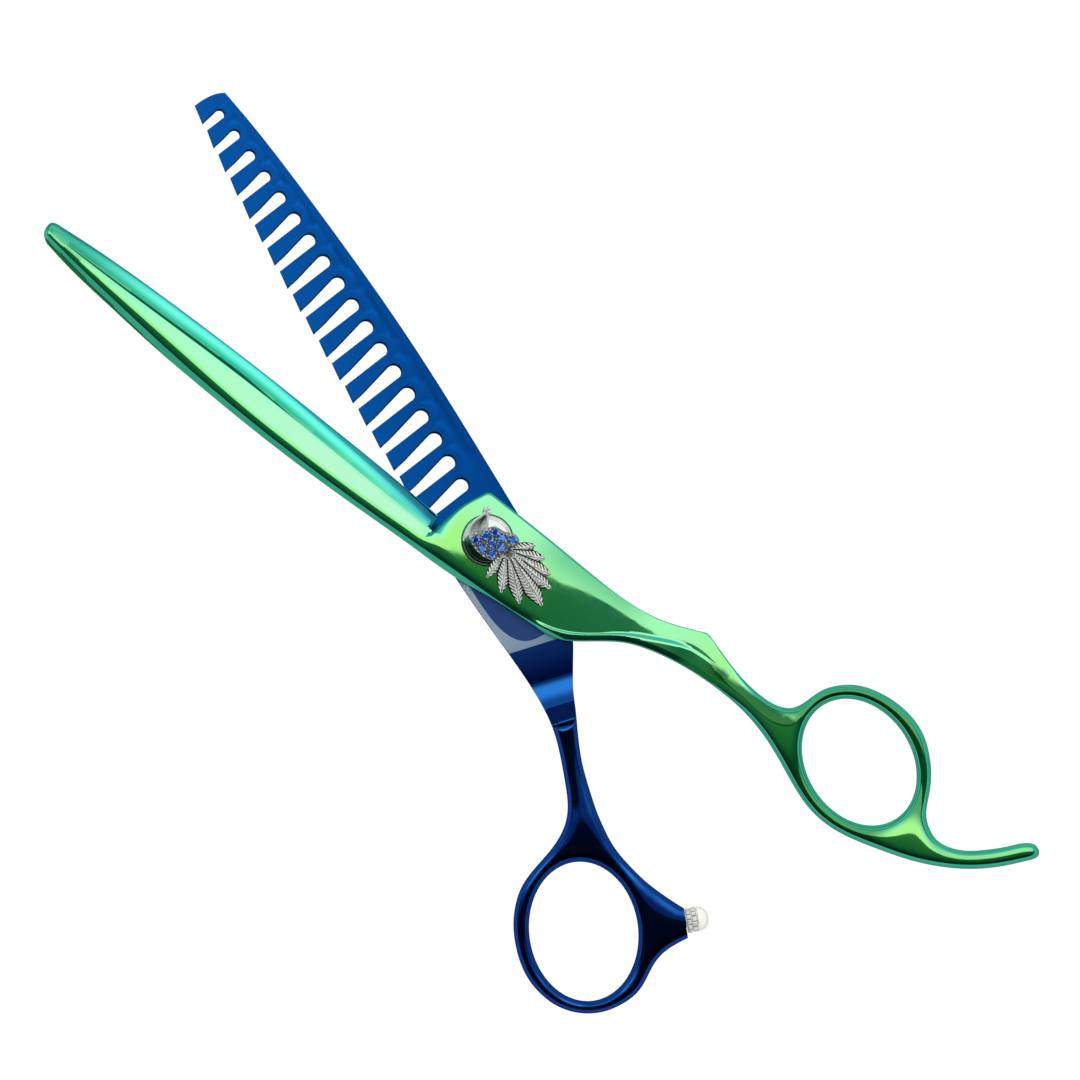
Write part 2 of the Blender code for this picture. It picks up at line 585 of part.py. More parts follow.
add(wave_washer(), DIAL, STEEL)
turned("pivot_screw", [(0, HEAD_TOP), (1.9, 7.40), (3.45, 7.27), (3.75, 7.19), (4.2, 7.04), (HEAD_R, 6.72), (HEAD_R, 6.1), (4.35, HEAD_BOTTOM),
                       (SHANK_R, HEAD_BOTTOM), (SHANK_R, 1.3), (2.15, 1.0), (0, 1.0)], 40, DIAL, SILVER)

# ---- cast ornament with its stones ----------------------------------------------------------------------------------
HUB = (-3.7, -0.7)  # the leaves spring from here
BED_Z = 7.60
LEAVES = [  # tip x, tip y, half width
    (-4.1, 5.7, 0.72), (-7.6, 6.4, 0.85), (-11.3, 6.2, 0.95), (-14.4, 4.4, 1.15), (-14.2, 0.9, 1.1), (-11.2, -2.5, 1.0), (-7.4, -4.1, 0.85)]
STONES = [(-2.0, 1.6), (0.0, 1.75), (1.75, 1.15), (-2.9, -0.25), (-1.1, -0.1), (0.75, -0.55), (-2.0, -1.95), (-0.25, -1.95), (-3.75, -2.7)]
STONE_R = 0.75


def leaf(name, index, tip, half):
    """One leaf blade of the spray, keeled along its midrib and thin at its edges, drooping away from the screw head."""
    length = math.hypot(tip[0] - HUB[0], tip[1] - HUB[1])
    ux, uy = (tip[0] - HUB[0]) / length, (tip[1] - HUB[1]) / length
    bm = bmesh.new()
    rings = []
    for s, w in ((0.02 + 0.013 * index, 0.45), (0.2, 0.7), (0.42, 0.95), (0.62, 1.0), (0.8, 0.75), (0.93, 0.36)):
        at, hw = length * s, half * w
        zc = BED_Z + 0.68 + 0.06 * (index % 2) + 0.013 * index - 0.0052 * at * at
        cx, cy = HUB[0] + ux * at, HUB[1] + uy * at
        pts = [(-hw, 0.0), (0, 0.27), (hw, 0.0), (0.3 * hw, -0.4), (-0.3 * hw, -0.4)]
        rings.append([bm.verts.new(Vector((cx - uy * o, cy + ux * o, zc + z)) * MM) for o, z in pts])
    for a, b in zip(rings, rings[1:]):
        for j in range(5):
            bm.faces.new([a[j], a[(j + 1) % 5], b[(j + 1) % 5], b[j]])
    bm.faces.new(rings[0][::-1])
    end = bm.verts.new(Vector((tip[0], tip[1], BED_Z + 0.58 - 0.0052 * length**2)) * MM)
    for j in range(5):
        bm.faces.new([rings[-1][j], rings[-1][(j + 1) % 5], end])
    bmesh.ops.triangulate(bm, faces=bm.faces)
    bmesh.ops.recalc_face_normals(bm, faces=bm.faces)
    return from_bmesh(name, bm)


def bed():
    """The pad that holds the stones."""
    outline = spline([(-4.95, -0.4), (-4.3, 0.95), (-2.9, 2.35), (-0.6, 2.8), (1.4, 2.4), (2.75, 1.3), (2.5, -0.3), (1.5, -1.5),
                      (0.3, -2.9), (-1.7, -3.1), (-3.2, -3.75), (-4.75, -3.2), (-4.98, -1.8), (-4.95, -0.4)], 1.3)[:-1]
    bm = bmesh.new()
    low = [bm.verts.new(Vector((q[0], q[1], BED_Z)) * MM) for q in outline]
    bottom = bm.faces.new(low)
    up = bmesh.ops.extrude_face_region(bm, geom=[bottom])
    bmesh.ops.translate(bm, vec=(0, 0, 0.8 * MM), verts=[v for v in up["geom"] if isinstance(v, bmesh.types.BMVert)])
    bmesh.ops.recalc_face_normals(bm, faces=bm.faces)
    return from_bmesh("stone_bed", bm)


def neck():
    """A wire bent from the bed round to the finial."""
    cu = bpy.data.curves.new("neck", "CURVE")
    cu.dimensions = "3D"
    cu.bevel_depth = 0.45 * MM
    cu.bevel_resolution = 1
    cu.use_fill_caps = True
    sp = cu.splines.new("POLY")
    pts = spline([(1.2, 1.6), (2.9, 1.2), (3.75, 0.1), (3.9, -1.4), (3.45, -2.9), (3.1, -4.0)], 0.95)
    sp.points.add(len(pts) - 1)
    for i, q in enumerate(pts):
        sp.points[i].co = (q[0] * MM, q[1] * MM, (BED_Z + 0.52) * MM, 1)
    obj = bpy.data.objects.new("neck_curve", cu)
    bpy.context.scene.collection.objects.link(obj)
    bpy.context.view_layer.update()
    me = bpy.data.meshes.new_from_object(obj.evaluated_get(bpy.context.evaluated_depsgraph_get()))
    bpy.data.objects.remove(obj)
    bm = bmesh.new()
    bm.from_mesh(me)
    bmesh.ops.remove_doubles(bm, verts=bm.verts, dist=1e-6)
    bmesh.ops.recalc_face_normals(bm, faces=bm.faces)
    return from_bmesh("neck", bm)


def bead(name, x, y, z, r):
    bm = bmesh.new()
    bmesh.ops.create_icosphere(bm, subdivisions=1, radius=r * MM)
    bmesh.ops.translate(bm, verts=bm.verts, vec=Vector((x, y, z)) * MM)
    return from_bmesh(name, bm)


def gather(name, pieces):
    group = bpy.data.collections.new(name)
    CUTTERS.children.link(group)
    for piece in pieces:
        as_cutter(piece, DIAL)
        CUTTERS.objects.unlink(piece)
        group.objects.link(piece)
    return group


def boolean_group(obj, group, operation):
    m = obj.modifiers.new(operation.lower() + "_" + group.name, "BOOLEAN")
    m.operation = operation
    m.solver = "EXACT"
    m.operand_type = "COLLECTION"
    m.collection = group


ornament = add(bed(), DIAL, SILVER)
ornament.name = "ornament_casting"
raised = [leaf(f"leaf_{i + 1}", i, (x, y), w) for i, (x, y, w) in enumerate(LEAVES)] + [neck()]
raised += [bead(f"finial_{i + 1}", x, y, BED_Z + 0.53, 0.43) for i, (x, y) in enumerate([(3.5, -4.35), (2.72, -4.27), (3.13, -4.8)])]
raised += [cylinder(f"bezel_{i + 1}", STONE_R + 0.2, BED_Z + 0.25 + 0.01 * i, BED_Z + 1.05 + 0.01 * i, 12, x, y) for i, (x, y) in enumerate(STONES)]
boolean_group(ornament, gather("ornament_raised", raised), "UNION")
pockets = [cylinder(f"pocket_{i + 1}", STONE_R + 0.05, BED_Z + 0.55, 12.0, 12, x, y) for i, (x, y) in enumerate(STONES)]
boolean_group(ornament, gather("stone_pockets", pockets), "DIFFERENCE")


def stone(name, x, y):
    """A round brilliant: a pointed pavilion set down in its bezel, a girdle, and a crown with a table."""
    bm = bmesh.new()
    z = BED_Z + 0.62
    table = [bm.verts.new(Vector((x + 0.45 * STONE_R * math.cos(a), y + 0.45 * STONE_R * math.sin(a), z + 0.86)) * MM)
             for a in (2 * math.pi * (i + 0.5) / 8 for i in range(8))]
    girdle = [bm.verts.new(Vector((x + STONE_R * math.cos(a), y + STONE_R * math.sin(a), z + 0.52)) * MM)
              for a in (2 * math.pi * i / 8 for i in range(8))]
    under = [bm.verts.new(Vector((x + STONE_R * math.cos(a), y + STONE_R * math.sin(a), z + 0.42)) * MM)
             for a in (2 * math.pi * i / 8 for i in range(8))]
    culet = bm.verts.new(Vector((x, y, z)) * MM)
    bm.faces.new(table)
    for i in range(8):
        j = (i + 1) % 8
        bm.faces.new([girdle[i], girdle[j], table[i]])
        bm.faces.new([girdle[j], table[j], table[i]])
        bm.faces.new([under[i], under[j], girdle[j], girdle[i]])
        bm.faces.new([under[j], under[i], culet])
    bmesh.ops.recalc_face_normals(bm, faces=bm.faces)
    return from_bmesh(name, bm)


for i, (x, y) in enumerate(STONES):
    add(stone(f"stone_{i + 1}", x, y), DIAL, GEM, 0)

# ---- bumper on the thumb ring -----------------------------------------------------------------------------------------
for piece in (
    turned("bumper_stud", [(0, 3.05), (0.75, 3.05), (0.9, 2.9), (0.9, 2.2), (1.5, 2.2), (1.5, 0.1), (1.15, 0.1), (1.15, -5.6),
                           (0.9, -5.9), (0, -5.9)], 20, THUMB, STEEL),
    turned("bumper_dome", [(0, 4.15), (0.85, 4.02), (1.55, 3.62), (2.05, 3.0), (2.2, 2.45), (2.15, 2.27), (0.95, 2.27), (0.95, 3.15), (0, 3.15)],
           24, THUMB, PEARL),
):
    rotate_onto(piece, BUMPER_DIR, (*BUMPER_AT, Z_THUMB))


def jewelled_collar(rows=2, count=12):
    """A band of square-cut settings, two rows round it."""
    bm = bmesh.new()
    heights = [0.05]
    for r in range(rows):
        base = 0.12 + r * 1.03
        heights += [base, base + 0.2, base + 0.8, base + 1.0]
    heights.append(2.22)
    radii = [2.12]
    for r in range(rows):
        radii += [2.1, 2.32, 2.32, 2.1]
    radii.append(2.12)
    steps = count * 3
    grid = []
    for h, r in zip(heights, radii):
        ring = []
        for i in range(steps):
            a = 2 * math.pi * (i + 0.5) / steps
            rr = r if (i % 3) != 2 or r < 2.2 else 2.14
            ring.append(bm.verts.new(Vector((rr * math.cos(a), rr * math.sin(a), h)) * MM))
        grid.append(ring)
    inner = [[bm.verts.new(Vector((1.56 * math.cos(2 * math.pi * (i + 0.5) / steps), 1.56 * math.sin(2 * math.pi * (i + 0.5) / steps), h)) * MM)
              for i in range(steps)] for h in (2.22, 0.05)]
    loops = grid + inner
    for a, b in zip(loops, loops[1:] + loops[:1]):
        for i in range(steps):
            j = (i + 1) % steps
            bm.faces.new([a[i], a[j], b[j], b[i]])
    bmesh.ops.recalc_face_normals(bm, faces=bm.faces)
    return from_bmesh("bumper_collar", bm)


rotate_onto(add(jewelled_collar(), THUMB, SILVER), BUMPER_DIR, (*BUMPER_AT, Z_THUMB))
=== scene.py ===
"""Thinning shears: fine surfaces, coatings, cast ornament, stones and studio.

The shears lie flat with the pivot on the Z axis. In each half's own axes the blade runs
towards +X and the finger ring towards -X. The finger half is on top. The toothed thumb half
lies under it and is swung open about the pivot. Lengths are in millimetres, but the studio
and the bump distances are in metres.
"""

import json
import math
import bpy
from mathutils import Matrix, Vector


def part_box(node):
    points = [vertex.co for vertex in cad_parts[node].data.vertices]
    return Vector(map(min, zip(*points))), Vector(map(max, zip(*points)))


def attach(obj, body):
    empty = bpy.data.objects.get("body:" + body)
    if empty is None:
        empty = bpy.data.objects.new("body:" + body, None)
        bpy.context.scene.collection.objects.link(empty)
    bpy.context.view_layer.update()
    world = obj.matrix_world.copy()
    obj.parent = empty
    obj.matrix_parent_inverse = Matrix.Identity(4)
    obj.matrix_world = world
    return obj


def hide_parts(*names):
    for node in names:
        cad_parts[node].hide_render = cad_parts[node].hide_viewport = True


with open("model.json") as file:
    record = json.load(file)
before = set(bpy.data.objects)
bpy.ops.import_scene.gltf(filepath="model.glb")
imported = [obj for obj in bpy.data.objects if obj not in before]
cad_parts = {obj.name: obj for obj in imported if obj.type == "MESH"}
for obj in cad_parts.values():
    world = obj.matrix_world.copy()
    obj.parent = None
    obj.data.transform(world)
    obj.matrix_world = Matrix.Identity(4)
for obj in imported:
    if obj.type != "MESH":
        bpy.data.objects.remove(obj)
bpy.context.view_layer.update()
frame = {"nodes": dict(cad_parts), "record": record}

from concurrent.futures import ThreadPoolExecutor

import bmesh
import bpy
import numpy as np
from mathutils import Matrix, Vector
from mathutils.geometry import delaunay_2d_cdt

MM = 0.001
SCENE = bpy.context.scene
OPEN = math.radians(-23.0)  # swing of the thumb half
Z_FINGER, Z_THUMB = 3.25, 3.15  # levels of the inner faces of the two halves
PICTURE_UP = (0.57358, -0.81915, 0.0)
PICTURE_RIGHT = (PICTURE_UP[1], -PICTURE_UP[0], 0.0)


def body_of(node):
    for body, nodes in frame["record"]["behaviour"]["bodies"].items():
        if node in nodes:
            return body


FINGER_BODY, THUMB_BODY = body_of("finger_half"), body_of("thumb_half")
DIAL_BODY = body_of("pivot_screw")

# ---- outlines: (x, y) stations in each half's own axes -------------------------------------
# The finger half, anticlockwise from the heel of the cutting edge.
FINGER_EDGE = [
    (9.95, 1.45), (20, 0.45), (35, -0.65), (50, -1.6), (65, -2.25), (80, -2.6), (90, -2.5),
    (96.2, -2.25)]
FINGER_TIP = [(96.2, -2.25), (97.1, -1.85), (97.4, -0.6), (97.05, 0.6), (95.55, 1.75)]
FINGER_SPINE = [
    (95.55, 1.75), (90, 2.95), (80, 4.45), (70, 5.8), (60, 6.8), (50, 7.6), (40, 8.2),
    (25, 8.6), (10, 8.7), (0, 8.7), (-5, 8.2), (-10, 7.85), (-15, 7.75), (-19, 7.6),
    (-22, 6.6), (-25, 4.7), (-28, 2.6), (-31, 0.85), (-35, -0.5), (-40, -1.45), (-45, -1.85),
    (-50, -1.8), (-55, -1.3), (-60, -0.05), (-65, 1.95), (-70, 4.35), (-75, 6.25),
    (-80, 6.85), (-85, 6.25), (-90, 5.05), (-95, 3.6), (-100, 1.55), (-105, -1.35),
    (-110, -5.6), (-112.5, -8.35)]
FINGER_REST_END = [
    (-112.5, -8.35), (-113.45, -9.5), (-113.75, -10.6), (-113.15, -11.35), (-112.0, -11.65),
    (-110.9, -11.2), (-109.75, -10.25)]
FINGER_RING = [
    (-109.75, -10.25), (-107.2, -7.5), (-104.7, -5.25), (-102.2, -3.45), (-99.9, -2.5),
    (-97.6, -2.2), (-95.1, -3.05), (-93, -4.9), (-91.6, -7.6), (-90, -10.7), (-87.6, -13.7),
    (-85, -15.95), (-82, -17.45), (-79, -18.15), (-76, -18.3), (-72.4, -17.85),
    (-69.1, -16.65), (-66.6, -14.75), (-64.9, -12.65), (-63.95, -10.4), (-63.2, -8.3),
    (-62.1, -6.7), (-60.2, -5.7), (-57.5, -5.35), (-54, -5.6), (-50, -6.45), (-46, -7.75),
    (-42.9, -8.85)]
FINGER_HEEL = [(-42.9, -8.85), (-42.0, -9.0), (-41.2, -8.75)]
FINGER_LOWER = [
    (-41.2, -8.75), (-37.5, -7.35), (-34, -6.3), (-30, -5.65), (-25, -5.5), (-15, -6.15),
    (-5, -6.85), (4.0, -7.35)]
FINGER_FRONT = [
    (4.0, -7.35), (4.75, -7.15), (5.4, -6.3), (6.3, -4.6), (7.15, -2.8), (7.65, -1.3),
    (8.1, 0.6), (8.55, 2.7), (9.05, 4.9)]
FINGER_NOTCH = [(9.05, 4.9), (9.1, 3.8), (9.25, 2.7), (9.95, 1.45)]
# Lines along the upper face of the finger half, y over x.
RIDGE = [(9.0, 4.2), (20, 3.55), (35, 2.5), (50, 1.5), (65, 0.9), (80, 0.45), (97.3, -0.35)]
CREST = [
    (-22, 6.1), (-15, 7.0), (0, 7.1), (20, 7.15), (35, 6.85), (50, 5.95), (60, 4.8), (75, 2.9),
    (90, 1.0), (97.3, 0.0)]
BEVEL = [
    (-22, 6.5), (-15, 7.4), (0, 7.75), (20, 7.8), (35, 7.45), (50, 6.6), (65, 5.1), (80, 3.05),
    (90, 1.5), (97.3, 0.2)]
RAIL = [  # foot of the raised back of the shank
    (-60, -3.7), (-52, -4.6), (-46, -5.1), (-41.5, -5.0), (-38.4, -4.35), (-35, -2.9),
    (-29.5, -0.13), (-24, 3.75), (-17.5, 6.55), (-14, 6.9), (-8, 7.0)]
BRIM = [  # where the flat of the shank starts to tilt away
    (-70, -7.5), (-66, -6.2), (-63.5, -5.3), (-60, -4.9), (-55.5, -4.75), (-44.6, -5.5),
    (-39.9, -5.6), (-34.3, -3.85), (-27.7, -3.15), (-14.8, -1.6), (-5, 0.6)]

# The thumb half.
TEETH = [
    (5, 7.95), (20, 7.65), (30, 7.58), (43, 7.15), (57.4, 6.56), (71.6, 5.7), (81, 4.96),
    (90.6, 3.86), (95, 3.2)]
THUMB_TIP = [(93.4, -2.65), (94.0, -1.4), (94.35, 0.4), (94.4, 2.0), (94.3, 3.25)]
THUMB_UPPER = [
    (8.69, 7.6), (5, 8.05), (0, 8.45), (-5, 8.4), (-15, 7.9), (-25, 7.35), (-30, 7.4),
    (-35, 8.0), (-39.8, 9.45), (-44.7, 11.4), (-48.1, 13.05), (-50.5, 15.0), (-52.05, 17.2),
    (-53.2, 19.75), (-54.1, 22.6), (-55.0, 25.4), (-56.2, 27.95), (-58.3, 30.5),
    (-61.05, 32.65), (-64.4, 34.3), (-67.8, 35.3), (-71, 35.6), (-74.2, 35.15),
    (-77.2, 34.05), (-79.75, 32.25), (-81.85, 29.7), (-83.1, 26.9), (-83.6, 23.8),
    (-83.5, 21.2), (-82.8, 18.9), (-81.6, 16.8), (-80.55, 14.95), (-79.8, 12.8),
    (-79.6, 10.5), (-79.8, 7.3)]
THUMB_LOWER = [
    (-74.85, 5.1), (-72.9, 6.05), (-69.9, 7.35), (-67, 8.4), (-64, 9.15), (-61, 9.7),
    (-58, 9.9), (-55, 9.65), (-52, 9.2), (-49, 8.5), (-46, 7.7), (-43, 6.75), (-40, 5.5),
    (-37, 4.05), (-34.1, 2.6), (-31, 1.15), (-28.5, -0.35), (-26, -1.95), (-23.5, -3.5),
    (-20, -5.1), (-15, -6.35), (-8, -6.95), (2, -7.2), (20, -7.4), (30, -7.4), (45, -7.0),
    (60, -6.1), (75, -4.9), (87, -3.6), (93.4, -2.65)]

# Ring openings: centre x, centre y, two half axes, tilt in degrees.
FINGER_OPENING = (-77.7, -5.7, 12.13, 9.44, -21.8)
THUMB_OPENING = (-68.85, 22.6, 12.57, 9.78, -24.2)
PIVOT_HOLE_R = 3.4

# Slots between the teeth: x of the first tip-side mouth corner, and the lean of both flanks.
SLOTS, SLOT_PITCH, SLOT_FIRST, SLOT_MOUTH = 18, 4.744, 9.99, 1.3
LEAN_HEEL, LEAN_TIP = 0.10, 0.26
RAKE = (-0.20, 0.26)  # shift of the slot walls from the upper to the lower face
SLOT_ARC, SLOT_FLANK = 17, 12  # points round the root, steps down a flank

BUMPER_AT, BUMPER_DIR = (-76.98, 6.05), (-0.370, -0.929)
# Where the inner faces start to scoop away, and how far the thumb half's start slants.
FINGER_RAMP, THUMB_RAMP, THUMB_SLANT = -30.0, -27.8, 0.27
# Round seats about the pivot.
SCREW_SEAT_R, WASHER_SEAT_R, NUT_SEAT_R = 4.66, 5.5, 4.4

# Flat triangulation: rows of points beside the walls, grid pitch, clearance from the walls.
ROWS = (0.015, 0.06, 0.14, 0.26, 0.42, 0.62, 0.88, 1.2)
GRID, GRID_CLEAR = 0.72, 1.5
BAR_FROM = -13.0  # bar thickness is worked out below this x
STRIDE = 96  # points handled at once
WORKERS = ThreadPoolExecutor(4)


# ---- curves ------------------------------------------------------------------------------------
def natural_spline(knots, values, at):
    """The natural cubic spline through values at the knots."""
    count, gaps = len(knots), np.diff(knots)
    matrix, bends = np.eye(count), np.zeros(values.shape)
    for i in range(1, count - 1):
        matrix[i, i - 1 : i + 2] = gaps[i - 1] / 6, (gaps[i - 1] + gaps[i]) / 3, gaps[i] / 6
        bends[i] = (values[i + 1] - values[i]) / gaps[i] - (values[i] - values[i - 1]) / gaps[i - 1]
    bends = np.linalg.solve(matrix, bends)
    k = np.clip(np.searchsorted(knots, at) - 1, 0, count - 2)
    left, past, gap = knots[k + 1] - at, at - knots[k], gaps[k]
    if values.ndim == 2:
        left, past, gap = left[:, None], past[:, None], gap[:, None]
    return (bends[k] * left**3 / (6 * gap) + bends[k + 1] * past**3 / (6 * gap)
            + (values[k] / gap - bends[k] * gap / 6) * left
            + (values[k + 1] / gap - bends[k + 1] * gap / 6) * past)


def spline(points, spacing):
    """Evenly spaced points on a smooth curve through the given ones."""
    points = np.array(points, float)
    lengths = np.linalg.norm(np.diff(points, axis=0), axis=1)
    knots = np.concatenate([[0], np.cumsum(lengths)])
    count = max(2, int(round(knots[-1] / spacing)) + 1)
    return natural_spline(knots, points, np.linspace(0, knots[-1], count))


def line_at(stations, x):
    """The y of a smooth line at x, held level beyond its ends."""
    xs, ys = np.array(sorted(stations), float).T
    return natural_spline(xs, ys, np.clip(np.asarray(x, float), xs[0], xs[-1]))


def step(x, lo, hi):
    """Eases from 0 at lo to 1 at hi."""
    t = np.clip((np.asarray(x, float) - lo) / (hi - lo), 0, 1)
    return t * t * t * (t * (t * 6 - 15) + 10)


def ellipse(center_x, center_y, half_long, half_short, tilt, count):
    around = np.linspace(0, 2 * math.pi, count, endpoint=False)
    cos, sin = math.cos(math.radians(tilt)), math.sin(math.radians(tilt))
    x, y = half_long * np.cos(around), half_short * np.sin(around)
    return np.stack([center_x + cos * x - sin * y, center_y + sin * x + cos * y], 1)


def circle(radius, count):
    return ellipse(0, 0, radius, radius, 0, count)


def trace(stations, lo, hi, gap):
    xs = np.arange(lo, hi, gap)
    return np.stack([xs, line_at(stations, xs)], 1)


def densify(points, spacing):
    """Straight stretches divided into nearly equal steps."""
    dense = []
    for start, end in zip(points[:-1], points[1:]):
        start, end = np.array(start, float), np.array(end, float)
        count = max(1, int(round(np.linalg.norm(end - start) / spacing)))
        dense += [tuple(start + (end - start) * i / count) for i in range(count)]
    return dense + [tuple(points[-1])]


def slot_outline(number):
    """One slot, from its mouth on the tip side round the root to the heel side."""
    tip_x = SLOT_FIRST + SLOT_PITCH * (number - 1)
    heel_x = tip_x - SLOT_MOUTH
    tip_y = float(line_at(TEETH, tip_x))
    heel_y = float(line_at(TEETH, heel_x)) - 0.30
    root = -3.2 + 0.0193 * (number - 6.5) ** 2
    heel_reach, tip_reach = math.hypot(1, LEAN_HEEL), math.hypot(1, LEAN_TIP)
    # the root radius that touches both flanks, found by repetition
    radius = 1.2
    for _ in range(30):
        y = root + radius
        left, right = heel_x + LEAN_HEEL * (heel_y - y), tip_x + LEAN_TIP * (tip_y - y)
        radius = (right - left) / (heel_reach + tip_reach)
    center_x, center_y = left + radius * heel_reach, root + radius
    around = np.linspace(
        math.atan2(LEAN_TIP, 1), math.atan2(LEAN_HEEL, -1) - 2 * math.pi, SLOT_ARC)
    arc = np.stack([center_x + radius * np.cos(around), center_y + radius * np.sin(around)], 1)
    mouth, last, end = np.array((tip_x, tip_y)), arc[-1], np.array((heel_x, heel_y))
    down = [mouth + (arc[0] - mouth) * i / SLOT_FLANK for i in range(SLOT_FLANK)]
    up = [last + (end - last) * i / SLOT_FLANK for i in range(1, SLOT_FLANK + 1)]
    return [tuple(point) for point in (*down, *arc, *up)]


# ---- plane geometry ----------------------------------------------------------------------------
def in_chunks(job, count):
    """Runs job(first, last) over blocks of points on a few threads, each writing its own rows."""
    cuts = np.linspace(0, count, max(2, min(33, count // 50 + 2))).astype(int)

    def block(k):
        for i in range(cuts[k], cuts[k + 1], STRIDE):
            job(i, min(i + STRIDE, cuts[k + 1]))

    list(WORKERS.map(block, range(len(cuts) - 1)))


def segments(loops):
    """Starts and ends of all outline segments."""
    return np.concatenate(loops), np.concatenate([np.roll(q, -1, axis=0) for q in loops])


def nearest(points, loops):
    """Distance to the outline and the unit vector away from it."""
    start, end = segments(loops)
    run = end - start
    run_sq = (run**2).sum(1)
    distance, away = np.empty(len(points)), np.empty((len(points), 2))

    def job(i, j):
        dx, dy = points[i:j, 0, None] - start[:, 0], points[i:j, 1, None] - start[:, 1]
        share = np.clip((dx * run[:, 0] + dy * run[:, 1]) / run_sq, 0, 1)
        dx -= share * run[:, 0]
        dy -= share * run[:, 1]
        square = dx * dx + dy * dy
        k = square.argmin(1)
        rows = np.arange(len(k))
        distance[i:j] = np.sqrt(square[rows, k])
        away[i:j, 0], away[i:j, 1] = dx[rows, k], dy[rows, k]

    in_chunks(job, len(points))
    away /= np.maximum(np.linalg.norm(away, axis=1), 1e-12)[:, None]
    return distance, away


def inside(points, loops):
    start, end = segments(loops)
    found = np.zeros(len(points), bool)
    rise = np.where(end[:, 1] == start[:, 1], 1.0, end[:, 1] - start[:, 1])
    slant = (end[:, 0] - start[:, 0]) / rise

    def job(i, j):
        x, y = points[i:j, 0, None], points[i:j, 1, None]
        spans = (start[:, 1] > y) != (end[:, 1] > y)
        crossing = start[:, 0] + (y - start[:, 1]) * slant
        found[i:j] = (spans & (x < crossing)).sum(1) % 2 == 1

    in_chunks(job, len(points))
    return found


def width_product(points, loops):
    """The product of a point's distances to the two sides of a bar.

    It is generalised smoothly to webs and ring junctions by integrating over the whole
    outline. Its root is the half height of a round bar.
    """
    start, end = segments(loops)
    along = end - start
    along = along / np.linalg.norm(along, axis=1)[:, None]
    product = np.empty(len(points))

    def job(i, j):
        px, py = points[i:j, 0, None], points[i:j, 1, None]
        ax, ay, bx, by = start[:, 0] - px, start[:, 1] - py, end[:, 0] - px, end[:, 1] - py
        from_a = ax * along[:, 0] + ay * along[:, 1]
        from_b = bx * along[:, 0] + by * along[:, 1]
        height = np.maximum(np.abs(ax * along[:, 1] - ay * along[:, 0]), 1e-5)
        angle = np.abs(np.arctan2(ax * by - ay * bx, ax * bx + ay * by))
        second = (angle / height).sum(1)
        sines = from_b / np.sqrt(bx * bx + by * by) - from_a / np.sqrt(ax * ax + ay * ay)
        third = (sines / (height * height)).sum(1)
        product[i:j] = 4 / np.maximum(2 * (second / math.pi) ** 2 - third, 0.25)

    in_chunks(job, len(points))
    return product


class Spaced:
    """A list of points that can tell whether a place is clear of them."""

    CELL = 0.6

    def __init__(self):
        self.points, self.grid = [], {}

    def cell(self, point):
        return int(point[0] // self.CELL), int(point[1] // self.CELL)

    def add(self, point):
        point = (float(point[0]), float(point[1]))
        self.points.append(point)
        self.grid.setdefault(self.cell(point), []).append(point)

    def add_clear(self, points, reach):
        """Adds each point that keeps the distance from all before it."""
        for point in points:
            if self.clear(point, reach):
                self.add(point)

    def clear(self, point, reach):
        i, j = self.cell(point)
        for a in (i - 1, i, i + 1):
            for b in (j - 1, j, j + 1):
                for other in self.grid.get((a, b), ()):
                    if (other[0] - point[0]) ** 2 + (other[1] - point[1]) ** 2 < reach * reach:
                        return False
        return True


def planar_mesh(loops, lines):
    """Triangles that fill the loops and follow the lines, fine beside the walls."""
    taken, edges = Spaced(), []
    for loop in loops:
        start, count = len(taken.points), len(loop)
        edges += [(start + i, start + (i + 1) % count) for i in range(count)]
        for point in loop:
            taken.add(point)
    for line in lines:
        kept = inside(line, loops) & (nearest(line, loops)[0] > 0.012)
        before = None
        for point, keep in zip(line, kept):
            if not keep:
                before = None
                continue
            taken.add(point)
            if before is not None:
                edges.append((before, len(taken.points) - 1))
            before = len(taken.points) - 1
    for row, gap in zip(ROWS, np.diff((0, *ROWS))):
        for loop in loops:
            along = np.roll(loop, -1, axis=0) - np.roll(loop, 1, axis=0)
            along /= np.linalg.norm(along, axis=1)[:, None]
            offset = loop + row * np.stack([-along[:, 1], along[:, 0]], 1)
            offset = offset[inside(offset, loops)]
            if len(offset):
                offset = offset[nearest(offset, loops)[0] > 0.95 * row]
                taken.add_clear(offset, 0.6 * gap)
    low, high = np.min(loops[0], axis=0), np.max(loops[0], axis=0)
    field = []
    for i, y in enumerate(np.arange(low[1] + GRID / 2, high[1], GRID * 0.866)):
        xs = np.arange(low[0] + (i % 2) * GRID / 2, high[0], GRID)
        field.append(np.stack([xs, np.full(len(xs), y)], 1))
    field = np.concatenate(field)
    field = field[inside(field, loops)]
    field = field[nearest(field, loops)[0] > GRID_CLEAR]
    taken.add_clear(field, 0.55 * GRID)
    points, _, faces, *_ = delaunay_2d_cdt([Vector(q) for q in taken.points], edges, [], 0, 1e-6)
    points = np.array([tuple(q) for q in points])
    faces = np.array([tuple(q) for q in faces])
    faces = faces[inside(points[faces].mean(1), loops)]
    used, index = np.unique(faces, return_inverse=True)
    points, faces = points[used], index.reshape(-1, 3)
    one = points[faces[:, 1]] - points[faces[:, 0]]
    two = points[faces[:, 2]] - points[faces[:, 0]]
    turned = one[:, 0] * two[:, 1] - one[:, 1] * two[:, 0] < 0
    faces[turned] = faces[turned][:, ::-1]
    return points, faces


def rim_of(faces):
    """Edges that belong to one triangle only."""
    edges = np.concatenate([faces[:, [0, 1]], faces[:, [1, 2]], faces[:, [2, 0]]])
    have = set(map(tuple, edges))
    return np.array([edge for edge in map(tuple, edges) if (edge[1], edge[0]) not in have])


